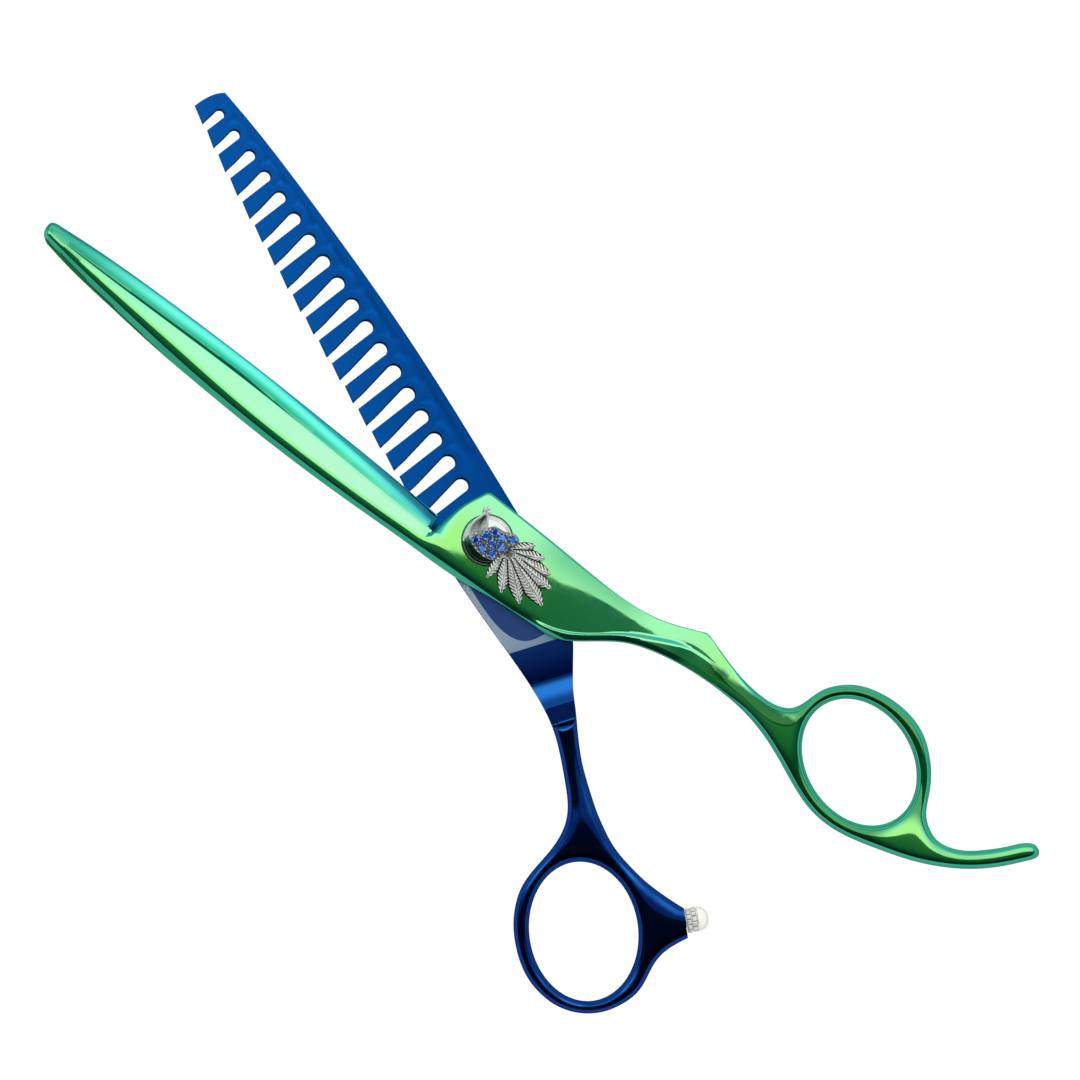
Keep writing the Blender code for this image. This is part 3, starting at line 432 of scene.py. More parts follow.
# ---- section functions -------------------------------------------------------------------------
# A face gives z from x, y, the girth of a round bar there, and the inset from the walls.
def bar(girth):
    """Half thickness of the rounded bars, rings and webs."""
    share = girth / 1.235
    return np.maximum(3.2 * share / np.sqrt(1 + share * share), 0.008)


def smooth_min(a, b, blend):
    share = np.clip(0.5 + 0.5 * (b - a) / blend, 0, 1)
    return b * (1 - share) + a * share - blend * share * (1 - share)


def rounded(inset, radius):
    """How far a rounded edge drops at a distance from the wall."""
    share = np.clip(1 - inset / radius, 0, 1)
    return radius * (1 - np.sqrt(np.maximum(1 - share * share, 0)))


def ramp(x, start):
    """The scooped ramp behind the plate on the inner faces, its shelf, and the last rise."""
    shelf, last, scoop = 5.4, 8.7, 19.0
    run = np.maximum(start - x, 0)
    rise = np.where(run < shelf, run * run / scoop, shelf**2 / scoop + 0.03 * (run - shelf))
    return rise + 0.85 * np.maximum(run - last, 0)


def rail(x, y):
    """The back of the shank stands a little proud of the plate and grows out of it."""
    grow, shrink = step(-x, 24, 36), step(-x, 37, 43)
    reach = 1.9 * (0.16 + 0.24 * grow - 0.26 * shrink)
    high = 0.22 + 0.22 * grow - 0.34 * shrink
    present = step(-x, 13.5, 17.5) * (1 - step(-x, 52, 60))
    return present * high * step(y - line_at(RAIL, x), -reach, reach)


def shank_face(x, y):
    """The flat of the shank, which tilts away below the brim line."""
    slope, decay = 0.054, 8
    behind, ahead = np.maximum(-15 - x, 0), np.maximum(x + 15, 0)
    fade = np.exp(-behind / decay)
    fall = slope * decay * (1 - fade)
    tilt = (0.0295 + 0.574 * (slope * fade - 0.008)) / 0.819
    below = line_at(BRIM, x) - y
    bend = np.where(below > 0, 0.0056 + 0.022 * step(-x, 18, 30), 0.0056)
    along = 2.267 - fall + slope * ahead - 0.00147 * ahead**2
    return along - tilt * below - 0.5 * bend * below * below


def finger_blade(x, y, crest, bevel):
    """Thickness of the blade: cutting bead, flute, and a crest rolling into the chamfer."""
    ridge, edge = line_at(RIDGE, x), line_at(FINGER_EDGE, x)
    crest_z = 2.35 - 1.6 * np.clip((x - 10) / 87, 0, 1)
    start = crest - 1.3 * (1 - 0.45 * step(x, 60, 95))
    run = np.maximum(start - ridge, 0.05)
    ridge_z = np.maximum(crest_z - 0.06 - 0.27 * run, 0.45)
    # the bead is steep at the edge and rolls over towards the ridge line
    wide = np.maximum(ridge - edge, 0.05)
    across = np.clip((y - edge) / wide, 0, 1)
    end_slope, fade = -0.09, 0.50
    start_slope = ((ridge_z - 0.10) / wide - end_slope) / (fade * (1 - math.exp(-1 / fade)))
    nose = np.clip((x - 9.0) / 1.5, 0.0, 1)
    swell = end_slope * across + start_slope * fade * (1 - np.exp(-across / fade))
    bead = 0.10 + wide * swell
    bead = 0.06 + (bead - 0.06) * np.sqrt(np.maximum(1 - (1 - nose) ** 2, 0))
    # the flute climbs to the crest
    across = np.clip((y - ridge) / run, 0, 1)
    top_z = crest_z - 0.06
    flute = ridge_z + (top_z - ridge_z) * (0.85 * across + 0.15 * across * across)
    slope = (top_z - ridge_z) * 1.15 / run
    roll = np.maximum(bevel - start, 0.1)
    over = np.clip(y - start, 0, roll)
    flute = flute + slope * over - (slope + 0.36) * over**2 / (2 * roll)
    return np.where(y < ridge, bead, flute - 0.95 * np.maximum(y - bevel, 0))


def finger_plate(x, y, crest, bevel):
    """Thickness of the plate round the pivot and its passage into the shank."""
    below = 6.6 - np.minimum(y, crest)
    plate = 2.95 - 0.02 * below - 0.0028 * below * below - 0.00147 * x * x * (x > -40)
    shank = step(-x, 13, 16.5)
    plate = plate * (1 - shank) + shank_face(x, y) * shank
    reach = np.maximum(bevel - crest + 1.3, 0.1)
    past = np.clip(y - crest + 1.3, 0, reach)
    roll = 0.5 * (0.38 / reach) * past**2 * (1 - step(-x, 14, 18))
    return plate - roll - 0.9 * np.maximum(y - bevel, 0)


def finger_top(x, y, girth, inset):
    crest, bevel = line_at(CREST, x), line_at(BEVEL, x)
    share = np.where((x > 8.9) & (y < 4.4), 1.0, step(x, 6.0, 13.0))
    plate, blade = finger_plate(x, y, crest, bevel), finger_blade(x, y, crest, bevel)
    top = plate * (1 - share) + blade * share
    soft = (x < 9.2) & (y < 6.0)
    top = top - np.where(soft, rounded(inset, radius=0.55), rounded(inset, radius=0.16))
    point = 0.12 + 0.62 * (1 - np.exp(-inset / 0.45))
    share = step(x, 95.6, 97.2)
    top = np.maximum(top * (1 - share) + point * share, 0.06)
    # from the plate to the rounded bar of the handle
    share = step(-x, 15, 30)
    side = smooth_min(bar(girth) * 0.93, shank_face(x, y), blend=0.10)
    top = top * (1 - share) + side * share
    share = step(-x, 44, 62)
    thin = 0.66 + 0.34 * step(-x, 38, 64)
    top = top * (1 - share) + bar(girth) * thin * share
    return Z_FINGER + top + rail(x, y) * np.minimum(inset / 1.2, 1)


def finger_bottom(x, y, girth, inset):
    hollow = 0.09 * step(x, 11, 18) * step(97 - x, 0, 6) * step(inset, 0.5, 2.2)
    scoop = smooth_min(bar(girth), ramp(x, FINGER_RAMP), blend=0.06)
    return Z_FINGER + hollow - scoop * (x < FINGER_RAMP)


def thumb_top(x, y, girth, inset):
    hollow = 0.07 * step(x, 11, 16) * step(94 - x, 0, 6) * step(inset, 0.8, 2.4) * (y < 0)
    foot = THUMB_RAMP + THUMB_SLANT * y
    scoop = smooth_min(bar(girth), ramp(x, foot), blend=0.16)
    return Z_THUMB - hollow - 0.02 * rounded(inset, radius=0.1) / 0.1 + scoop * (x < foot)


def thumb_bottom(x, y, girth, inset):
    full = 2.35 - 0.95 * np.clip((x - 10) / 84, 0, 1)
    depth = np.clip((line_at(TEETH, x) - y) / 8.5, 0, 1)
    blade = 0.75 + (full - 0.75) * (1 - (1 - depth) ** 2)
    share = step(x, 3.0, 13.5)
    plate = 2.9 - 0.0040 * y * y - 0.0012 * x * x * (x > -30)
    under = plate * (1 - share) + blade * share
    soft = (y < -0.5) | (x < 8.0)
    edge = np.where(soft, rounded(inset, radius=0.7), rounded(inset, radius=0.12))
    under = np.maximum(under - edge, 0.12)
    share = step(-x, 15, 36)
    return Z_THUMB - (under * (1 - share) + bar(girth) * share)


def seated(face, radius, level, from_below=False):
    """The face with a round seat cut to a level about the pivot, with a small edge break."""
    wall, edge = 0.05, 0.12

    def cut(x, y, girth, inset):
        z = face(x, y, girth, inset)
        reach = np.hypot(x, y)
        outside = step(reach, radius - wall, radius)
        drop = edge * np.clip(1 - (reach - radius) / edge, 0, 1) ** 2 * (reach >= radius)
        if from_below:
            return np.maximum(z, level) * (1 - outside) + (z + drop) * outside
        return np.minimum(z, level) * (1 - outside) + (z - drop) * outside

    return cut


# ---- slabs: closed bodies between two faces ---------------------------------------------------
def face_normals(face, points, product, product_slope, inset, inset_slope):
    """Upward normals of a face, from its own slopes."""
    x, y = points.T
    girth = np.sqrt(np.maximum(product, 0))
    e = 1e-3
    by_x = (face(x + e, y, girth, inset) - face(x - e, y, girth, inset)) / (2 * e)
    by_y = (face(x, y + e, girth, inset) - face(x, y - e, girth, inset)) / (2 * e)
    less, nearer = np.maximum(girth - e, 0), np.maximum(inset - e, 0)
    by_girth = (face(x, y, girth + e, inset) - face(x, y, less, inset)) / (girth + e - less)
    by_inset = (face(x, y, girth, inset + e) - face(x, y, girth, nearer)) / (inset + e - nearer)
    plain = np.abs(by_girth) < 1e-7
    two_girth = np.where(plain, 1.0, 2 * np.maximum(girth, 1e-4))
    sides = [-(two_girth * (slope + by_inset * inset_slope[:, k])
               + np.where(plain, 0, by_girth * product_slope[:, k]))
             for k, slope in enumerate((by_x, by_y))]
    normals = np.stack([*sides, two_girth], 1)
    return normals / np.linalg.norm(normals, axis=1)[:, None]


def place_key(point):
    return round(float(point[0]), 4), round(float(point[1]), 4)


def outline_normals(loops):
    """The outward normal at each outline corner."""
    found = {}
    for loop in loops:
        along = np.roll(loop, -1, axis=0) - loop
        along /= np.linalg.norm(along, axis=1)[:, None]
        after = np.stack([along[:, 1], -along[:, 0]], 1)
        mean = after + np.roll(after, 1, axis=0)
        mean /= np.maximum(np.linalg.norm(mean, axis=1), 1e-9)[:, None]
        found.update((place_key(point), normal) for point, normal in zip(loop, mean))
    return found


def bar_products(points, loops, on_rim, inward):
    """The width product and its slope at each point of the bars; 1 and 0 elsewhere."""
    product, slope = np.zeros(len(points)) + 1.0, np.zeros((len(points), 2))
    used = points[:, 0] < BAR_FROM
    spots = points[used]
    distance, away = nearest(spots, loops)
    close = distance < 0.03
    away = np.where((close & on_rim[used])[:, None], inward[used], away)
    spot_product, spot_slope = np.zeros(len(spots)), np.zeros((len(spots), 2))
    clear = spots[~close]
    spot_product[~close] = width_product(clear, loops)
    h = 0.02
    spot_slope[~close] = np.stack([
        (width_product(clear + shift, loops) - width_product(clear - shift, loops)) / (2 * h)
        for shift in (np.array((h, 0)), np.array((0, h)))], 1)
    # beside the wall the product grows in proportion to the distance
    lift = 0.06
    lifted = width_product(spots[close] + lift * away[close], loops)
    rate = lifted / (distance[close] + lift)
    spot_product[close] = rate * distance[close]
    spot_slope[close] = rate[:, None] * away[close]
    product[used], slope[used] = spot_product, spot_slope
    return product, slope


def walls(solid, rim_edges, count):
    """Wall quads with corner normals that are smooth where the outline is."""
    own = {}
    for a, b in rim_edges:
        normal = np.cross(solid[count + a] - solid[a], solid[count + b] - solid[a])
        if np.linalg.norm(normal) < 1e-12:
            normal = np.array([1.0, 0, 0])
        own[(a, b)] = normal / np.linalg.norm(normal)
    after = {a: (a, b) for a, b in rim_edges}
    before = {b: (a, b) for a, b in rim_edges}

    def corner_normal(edge, corner):
        other = before[corner] if after[corner] == edge else after[corner]
        if np.dot(own[edge], own[other]) < 0.8:
            return own[edge]
        mean = own[edge] + own[other]
        return mean / np.linalg.norm(mean)

    quads, normals = [], []
    for a, b in rim_edges:
        at_a, at_b = corner_normal((a, b), a), corner_normal((a, b), b)
        quads.append((a, count + a, count + b, b))
        normals += [at_a, at_a, at_b, at_b]
    return quads, np.array(normals)


def turn_matrix(angle):
    c, s = math.cos(angle), math.sin(angle)
    return np.array([[c, -s, 0], [s, c, 0], [0, 0, 1]])


def write_attribute(mesh, name, values, kind="FLOAT", domain="POINT"):
    part = "vector" if kind == "FLOAT_VECTOR" else "value"
    values = np.asarray(values, np.float32).reshape(-1)
    mesh.attributes.new(name, kind, domain).data.foreach_set(part, values)


def new_mesh(name, points, faces):
    """A mesh from points in millimetres."""
    mesh = bpy.data.meshes.new(name)
    mesh.from_pydata((points * MM).tolist(), [], [tuple(int(i) for i in f) for f in faces])
    mesh.update()
    return mesh


def link_object(name, data):
    obj = bpy.data.objects.new(name, data)
    SCENE.collection.objects.link(obj)
    return obj


def slab(name, loops, bar_loops, lines, top, bottom, shift_of=None, turn=0.0):
    """A closed body whose normals come from the face functions and not from the triangles."""
    points, faces = planar_mesh(loops, lines)
    count = len(points)
    inset, inward = nearest(points, loops)
    rim_edges = rim_of(faces)
    on_rim = np.zeros(count, bool)
    on_rim[np.unique(rim_edges)] = True
    inset[on_rim] = 0
    outward = outline_normals(loops)
    for i in np.nonzero(on_rim)[0]:
        key = place_key(points[i])
        if key in outward:
            inward[i] = -outward[key]
    product, slope = bar_products(points, bar_loops, on_rim, inward)
    girth = np.sqrt(np.maximum(product, 0))
    top_z, bottom_z = (face(points[:, 0], points[:, 1], girth, inset) for face in (top, bottom))
    # normals are taken a hair inside each triangle, so that creases stay crisp,
    # but on the outline itself they keep the true edge direction
    corner = faces.reshape(-1)
    hair = np.repeat(points[faces].mean(1), 3, axis=0) - points[corner]
    hair *= (0.02 / np.maximum(np.linalg.norm(hair, axis=1), 1e-9))[:, None]
    at = points[corner] + hair
    hair_product = np.maximum(product[corner] + (slope[corner] * hair).sum(1), 0)
    hair_product = np.where(on_rim[corner], product[corner], hair_product)
    hair_inset = np.maximum(inset[corner] + (inward[corner] * hair).sum(1), 0)
    hair_inset = np.where(on_rim[corner], inset[corner], hair_inset)
    state = (at, hair_product, slope[corner], hair_inset, inward[corner])
    top_n, bottom_n = face_normals(top, *state), -face_normals(bottom, *state)
    low = points if shift_of is None else points + shift_of(points, inset)
    top_z = np.maximum(top_z, bottom_z + 0.01)
    solid = np.concatenate([np.column_stack([points, top_z]), np.column_stack([low, bottom_z])])
    quads, wall_n = walls(solid, rim_edges, count)
    bottom_n = bottom_n.reshape(-1, 3, 3)[:, ::-1].reshape(-1, 3)
    rotation = turn_matrix(turn).T
    mesh = new_mesh(name, solid @ rotation, [*faces, *(faces[:, ::-1] + count), *quads])

    x, y = points.T
    # painted shade: a mask over the shank above the brim line, near the ring, which the green coating
    # darkens
    shade = np.clip((y - line_at(BRIM, x)) / 0.4 + 0.5, 0, 1)
    shade = shade * step(-x, 44, 48) * (1 - step(-x, 65, 69))
    bead = np.clip((line_at(RIDGE, x) - y) / 0.25 + 0.5, 0, 1) * (x > 8.6)
    write_attribute(mesh, "loc", solid, "FLOAT_VECTOR")
    for label, upper, lower in (("edge", inset, inset), ("girth", girth, girth),
                                ("shade", shade, 0 * shade), ("bead", bead, 0 * bead)):
        write_attribute(mesh, label, np.concatenate([upper, lower]))
    mesh.shade_smooth()
    normals = np.concatenate([part @ rotation for part in (top_n, bottom_n, wall_n)])
    mesh.normals_split_custom_set(normals.tolist())
    return link_object(name, mesh)


# ---- the two halves ----------------------------------------------------------------------------
PIVOT_HOLE = circle(PIVOT_HOLE_R, 84)[::-1]


def seat_lines(*radii):
    """Closed rings of points close about the edge of each seat."""
    lines = []
    for radius in radii:
        for offset in (-0.12, -0.05, 0.0, 0.06, 0.12):
            ring = circle(radius + offset, 110)
            lines.append(np.concatenate([ring, ring[:1]]))
    return lines


def finger_half():
    stretches = (  # stations and spacing
        (FINGER_EDGE, 0.9), (FINGER_TIP, 0.22), (FINGER_SPINE, 0.45), (FINGER_REST_END, 0.25),
        (FINGER_RING, 0.4), (FINGER_HEEL, 0.2), (FINGER_LOWER, 0.5), (FINGER_FRONT, 0.3),
        (FINGER_NOTCH, 0.2))
    outer = np.concatenate([spline(stations, spacing)[:-1] for stations, spacing in stretches])
    opening = ellipse(*FINGER_OPENING, 190)[::-1]
    lines = [trace(RIDGE, 10.0, 96.4, 0.5), trace(CREST, -20, 93.0, 0.6),
             trace(BEVEL, -20, 96.2, 0.5)]
    lines += [trace(RAIL, -46, -14, 0.45) + (0, offset)
              for offset in (-0.75, -0.5, -0.3, -0.15, 0.0, 0.15, 0.3, 0.5, 0.75)]
    lines.append(np.stack([np.full(14, FINGER_RAMP), np.linspace(-6, 6, 14)], 1))
    lines += seat_lines(SCREW_SEAT_R, WASHER_SEAT_R)
    return slab("finger_half_fine", [outer, opening, PIVOT_HOLE], [outer, opening], lines,
                seated(finger_top, SCREW_SEAT_R, level=5.05),
                seated(finger_bottom, WASHER_SEAT_R, level=3.5, from_below=True))


def slot_rake(points, inset):
    """Shifts the lower rim of the slots, fading out towards their roots and the tooth tips."""
    near = np.clip(1 - inset / 1.2, 0, 1) * (points[:, 0] > 8) * (points[:, 1] > -4.2)
    depth = line_at(TEETH, points[:, 0]) - 0.6 - points[:, 1]
    near = near * np.clip(depth / 2.0, 0, 1)
    return np.stack([near * RAKE[0], near * RAKE[1]], 1)


def thumb_half():
    teeth = [THUMB_TIP[-1]]
    for number in range(SLOTS, 0, -1):
        slot = slot_outline(number)
        teeth += densify([teeth[-1], slot[0]], 0.6)[1:-1] + slot
    teeth += densify([teeth[-1], THUMB_UPPER[0]], 0.6)[1:-1]
    upper, lower, tip = ([tuple(q) for q in spline(stations, spacing)] for stations, spacing in (
        (THUMB_UPPER, 0.42), (THUMB_LOWER, 0.5), (THUMB_TIP, 0.3)))
    bumper_face = (THUMB_UPPER[-1], THUMB_LOWER[0])
    across = densify(bumper_face, 0.35)[1:-1]
    outer = np.array(teeth + upper + across + lower[:-1] + tip[:-1])
    # the bar outline has no teeth and runs on past the bumper face, so the bar stays full there
    beyond = [(x + 4 * BUMPER_DIR[0], y + 4 * BUMPER_DIR[1]) for x, y in bumper_face]
    plain_blade = [(60.0, -6.1), (60.0, 7.0), (8.69, 7.6)]
    bar_outer = np.array(upper + beyond + lower[:-1] + plain_blade)
    opening = ellipse(*THUMB_OPENING, 200)[::-1]
    y = np.linspace(-3, 9, 20)
    lines = [np.stack([THUMB_RAMP - offset + THUMB_SLANT * y, y], 1)
             for offset in (0.0, 5.4, 8.5, 8.8, 9.2, 9.6, 10.0, 10.5)]
    lines += seat_lines(NUT_SEAT_R, WASHER_SEAT_R)
    return slab("thumb_half_fine", [outer, opening, PIVOT_HOLE], [bar_outer, opening], lines,
                seated(thumb_top, WASHER_SEAT_R, level=2.9),
                seated(thumb_bottom, NUT_SEAT_R, level=0.85, from_below=True),
                slot_rake, OPEN)


finger_fine = finger_half()
thumb_fine = thumb_half()


# ---- shader graphs -----------------------------------------------------------------------------
class Signal:
    """A shader output that can be reckoned with; each operator makes a maths node."""

    def __init__(self, graph, socket):
        self.graph, self.socket = graph, socket

    def __add__(self, other):
        return self.graph.math("ADD", self, other)

    def __radd__(self, other):
        return self.graph.math("ADD", other, self)

    def __rsub__(self, other):
        return self.graph.math("SUBTRACT", other, self)

    def __mul__(self, other):
        return self.graph.math("MULTIPLY", self, other)

    def __truediv__(self, other):
        return self.graph.math("DIVIDE", self, other)

    def __pow__(self, other):
        return self.graph.math("POWER", self, other)

    def __abs__(self):
        return self.graph.math("ABSOLUTE", self)

    def span(self, over, to=(0.0, 1.0), smooth=True):
        """Maps one range to another, held beyond its ends."""
        inputs = {"Value": self, "From Min": over[0], "From Max": over[1],
                  "To Min": to[0], "To Max": to[1]}
        kind = "SMOOTHSTEP" if smooth else "LINEAR"
        return self.graph.node("ShaderNodeMapRange", inputs, interpolation_type=kind)

    def ramp(self, *stops):
        """Colours from stops of position, red, green, blue."""
        made = self.graph.nodes.new("ShaderNodeValToRGB")
        elements = made.color_ramp.elements
        while len(elements) < len(stops):
            elements.new(0.5)
        for element, (position, *color) in zip(elements, stops):
            element.position = position
            element.color = (*color, 1)
        self.graph.put(made.inputs[0], self)
        return Signal(self.graph, made.outputs[0])


class Graph:
    """The node tree of a material or world."""

    def __init__(self, owner):
        owner.use_nodes = True
        self.owner, self.nodes = owner, owner.node_tree.nodes

    def put(self, socket, value):
        if isinstance(value, Signal):
            self.owner.node_tree.links.new(value.socket, socket)
        elif isinstance(value, tuple) and socket.type == "RGBA":
            socket.default_value = (*value, 1)
        else:
            socket.default_value = value

    def node(self, kind, inputs=(), out=(0,), **settings):
        """Makes a node and returns the named outputs, or just the one."""
        made = self.nodes.new(kind)
        for key, value in settings.items():
            setattr(made, key, value)
        for key, value in dict(inputs).items():
            self.put(made.inputs[key], value)
        signals = [Signal(self, made.outputs[key]) for key in out]
        return signals[0] if len(signals) == 1 else signals

    def math(self, operation, a, b=0.0, c=None, clamp=False):
        inputs = {0: a, 1: b} if c is None else {0: a, 1: b, 2: c}
        return self.node("ShaderNodeMath", inputs, operation=operation, use_clamp=clamp)

    def vector(self, operation, a, b=None):
        inputs = {0: a} if b is None else {0: a, 1: b}
        out = ("Value",) if operation == "DOT_PRODUCT" else (0,)
        return self.node("ShaderNodeVectorMath", inputs, out, operation=operation)

    def mix(self, share, a, b, blend="MIX"):
        return self.node("ShaderNodeMix", {0: share, 6: a, 7: b}, (2,), data_type="RGBA",
                         blend_type=blend)

    def noise(self, vector, scale, detail=3.0, rough=0.55, stretch=None):
        if stretch is not None:
            vector = self.vector("MULTIPLY", vector, stretch)
        return self.node("ShaderNodeTexNoise", {
            "Vector": vector, "Scale": scale, "Detail": detail, "Roughness": rough})

    def bump(self, height, strength, distance):
        return self.node("ShaderNodeBump", {
            "Strength": strength, "Distance": distance, "Height": height})

    def attribute(self, name, out="Fac"):
        return self.node("ShaderNodeAttribute", out=(out,), attribute_name=name)

    def place(self):
        """Position on the piece in millimetres."""
        return self.attribute("loc", "Vector")

    def split(self, vector):
        return self.node("ShaderNodeSeparateXYZ", {0: vector}, (0, 1, 2))

    def look_angle(self):
        """Angle between the surface and the eye, 0 face on to 1 at a grazing view."""
        normal, incoming = self.node("ShaderNodeNewGeometry", out=("Normal", "Incoming"))
        facing = abs(self.vector("DOT_PRODUCT", normal, incoming))
        return self.math("ARCCOSINE", self.math("MINIMUM", facing, 1.0)) * (2 / math.pi)

    def lean(self):
        """How far the mirrored line of sight leans towards the top of the picture."""
        normal, incoming = self.node("ShaderNodeNewGeometry", out=("Normal", "Incoming"))
        double = self.vector("DOT_PRODUCT", normal, incoming) * 2.0
        scaled = self.node("ShaderNodeVectorMath", {0: normal, "Scale": double},
                           operation="SCALE")
        mirrored = self.vector("SUBTRACT", scaled, incoming)
        return self.vector("DOT_PRODUCT", mirrored, PICTURE_UP)

    def surface(self, inputs):
        """Sets inputs of the main surface and returns the material."""
        for key, value in inputs.items():
            self.put(self.nodes["Principled BSDF"].inputs[key], value)
        return self.owner


def shader(name, metallic=0.0):
    g = Graph(bpy.data.materials.new(name))
    g.surface({"Metallic": metallic})
    return g


# ---- materials ---------------------------------------------------------------------------------
# Colours are linear red, green, blue. Spans over x, y and the edge distance are in millimetres,
# spans over the look angle run from 0 to 1.
def coated(g, angle, tone, rough, normal):
    """A coating that gives no white flare at a grazing view."""
    return g.surface({
        "Base Color": tone, "Roughness": rough, "Normal": normal,
        "Metallic": angle.span(over=(0.55, 0.72), to=(1.0, 0.0)), "Specular IOR Level": 0.0})


def green_coating():
    g = shader("green_titanium_coating", metallic=1.0)
    loc = g.place()
    x, y, _ = g.split(loc)
    angle = g.look_angle()
    tone = angle.ramp(
        (0.0, 0.39, 0.92, 0.21), (0.06, 0.38, 0.95, 0.27), (0.115, 0.36, 1.0, 0.43),
        (0.18, 0.34, 1.0, 0.52), (0.24, 0.19, 1.0, 0.72), (0.34, 0.07, 0.66, 0.52),
        (0.45, 0.035, 0.43, 0.27), (0.7, 0.03, 0.37, 0.21), (1.0, 0.02, 0.26, 0.16))
    # the blade: plain green face on, pale mint at a slight tilt
    leaf_green, pale_mint = (0.22, 0.86, 0.33), (0.52, 0.97, 0.66)
    level = x.span(over=(9.0, 16.0)) * angle.span(over=(0.02, 0.14), to=(1.0, 0.0))
    tone = g.mix(level * 0.75, tone, leaf_green)
    pale = x.span(over=(9.0, 13.0)) * x.span(over=(90.0, 25.0), to=(0.15, 0.8))
    tilted = angle.span(over=(0.09, 0.16)) * angle.span(over=(0.28, 0.22))
    tone = g.mix(pale * tilted, tone, pale_mint)
    # the film on the cutting bead is cyan; bluer at the heel and dark green at the tip, which is a
    # painted reflection
    painted_tip_reflection = (0.02, 0.30, 0.18)
    cyan = angle.ramp(
        (0.0, 0.025, 0.40, 0.23), (0.05, 0.035, 0.52, 0.34), (0.10, 0.09, 0.86, 0.62),
        (0.15, 0.18, 1.0, 0.80), (0.23, 0.12, 0.92, 0.76), (0.31, 0.04, 0.55, 0.58),
        (0.42, 0.02, 0.32, 0.36), (1.0, 0.01, 0.16, 0.14))
    painted_heel_reflection = angle.ramp(
        (0.0, 0.025, 0.42, 0.30), (0.10, 0.04, 0.66, 0.52), (0.20, 0.02, 0.36, 0.50),
        (0.4, 0.006, 0.13, 0.30), (1.0, 0.003, 0.06, 0.16))
    cyan = g.mix(x.span(over=(30.0, 9.0), to=(0.0, 0.8)), cyan, painted_heel_reflection)
    cyan = g.mix(x.span(over=(70.0, 94.0), to=(0.0, 0.75)), cyan, painted_tip_reflection)
    # the plate shifts to mint towards -Y and towards the shank
    mint, drift_green = (0.36, 0.97, 0.50), (0.24, 0.86, 0.50)
    shift = y.span(over=(2.5, -6.5)) * x.span(over=(14.0, 4.0))
    shift = g.math("MAXIMUM", shift, x.span(over=(-9.0, -24.0), to=(0.0, 0.65)))
    shift = shift * x.span(over=(-52.0, -34.0))
    tone = g.mix(shift * angle.span(over=(0.18, 0.3), to=(1.0, 0.0)), tone, mint)
    tone = g.mix(g.attribute("bead"), tone, cyan)
    drift = g.noise(loc, scale=0.12, detail=2.0)
    tone = g.mix(drift.span(over=(0.38, 0.66), to=(0.0, 0.08)), tone, drift_green)
    # painted shade: darker on the tops of the slender ring bars, above the brim, and on the -Y side of
    # the plate
    painted_ring_shade_green, painted_shade_green = (0.018, 0.24, 0.075), (0.012, 0.135, 0.035)
    painted_band_shade_green = (0.09, 0.52, 0.25)
    slender = g.attribute("girth").span(over=(2.35, 1.55)) * x.span(over=(-52.0, -62.0))
    slender = slender * x.span(over=(-101.0, -95.0), to=(0.35, 1.0))
    slender = slender * angle.span(over=(0.26, 0.36), to=(0.82, 0.0))
    tone = g.mix(slender, tone, painted_ring_shade_green)
    # painted shade above the brim, where the mirrored line of sight meets the bright side of the room
    shade = g.attribute("shade") * g.lean().span(over=(0.02, 0.055))
    shade = shade * angle.span(over=(0.26, 0.34), to=(0.93, 0.0))
    tone = g.mix(shade, tone, painted_shade_green)
    # painted shade on the -Y side of the plate, from near the pivot into the shank
    band = x.span(over=(-4.0, -14.0)) * x.span(over=(-34.0, -25.0))
    tone = g.mix(band * y.span(over=(0.5, -6.0)) * 0.72, tone, painted_band_shade_green)
    # pale wear in patches along the edges
    worn_green = (0.5, 0.85, 0.68)
    patches = g.noise(loc, scale=2.2, detail=4.0).span(over=(0.5, 0.72), to=(0.0, 0.22))
    worn = g.attribute("edge").span(over=(0.0, 0.08), to=(1.0, 0.0)) * patches
    tone = g.mix(worn, tone, worn_green)
    smear = g.noise(loc, scale=0.55, detail=4.0, rough=0.6)
    lines = g.noise(loc, scale=1.0, detail=5.0, rough=0.65, stretch=(0.35, 9.0, 9.0))
    rough = (smear.span(over=(0.35, 0.7), to=(0.02, 0.05))
             + lines.span(over=(0.5, 0.8), to=(0.0, 0.03)))
    normal = g.bump(lines, strength=0.006, distance=0.00002)
    return coated(g, angle, tone, rough + worn * 0.15, normal)


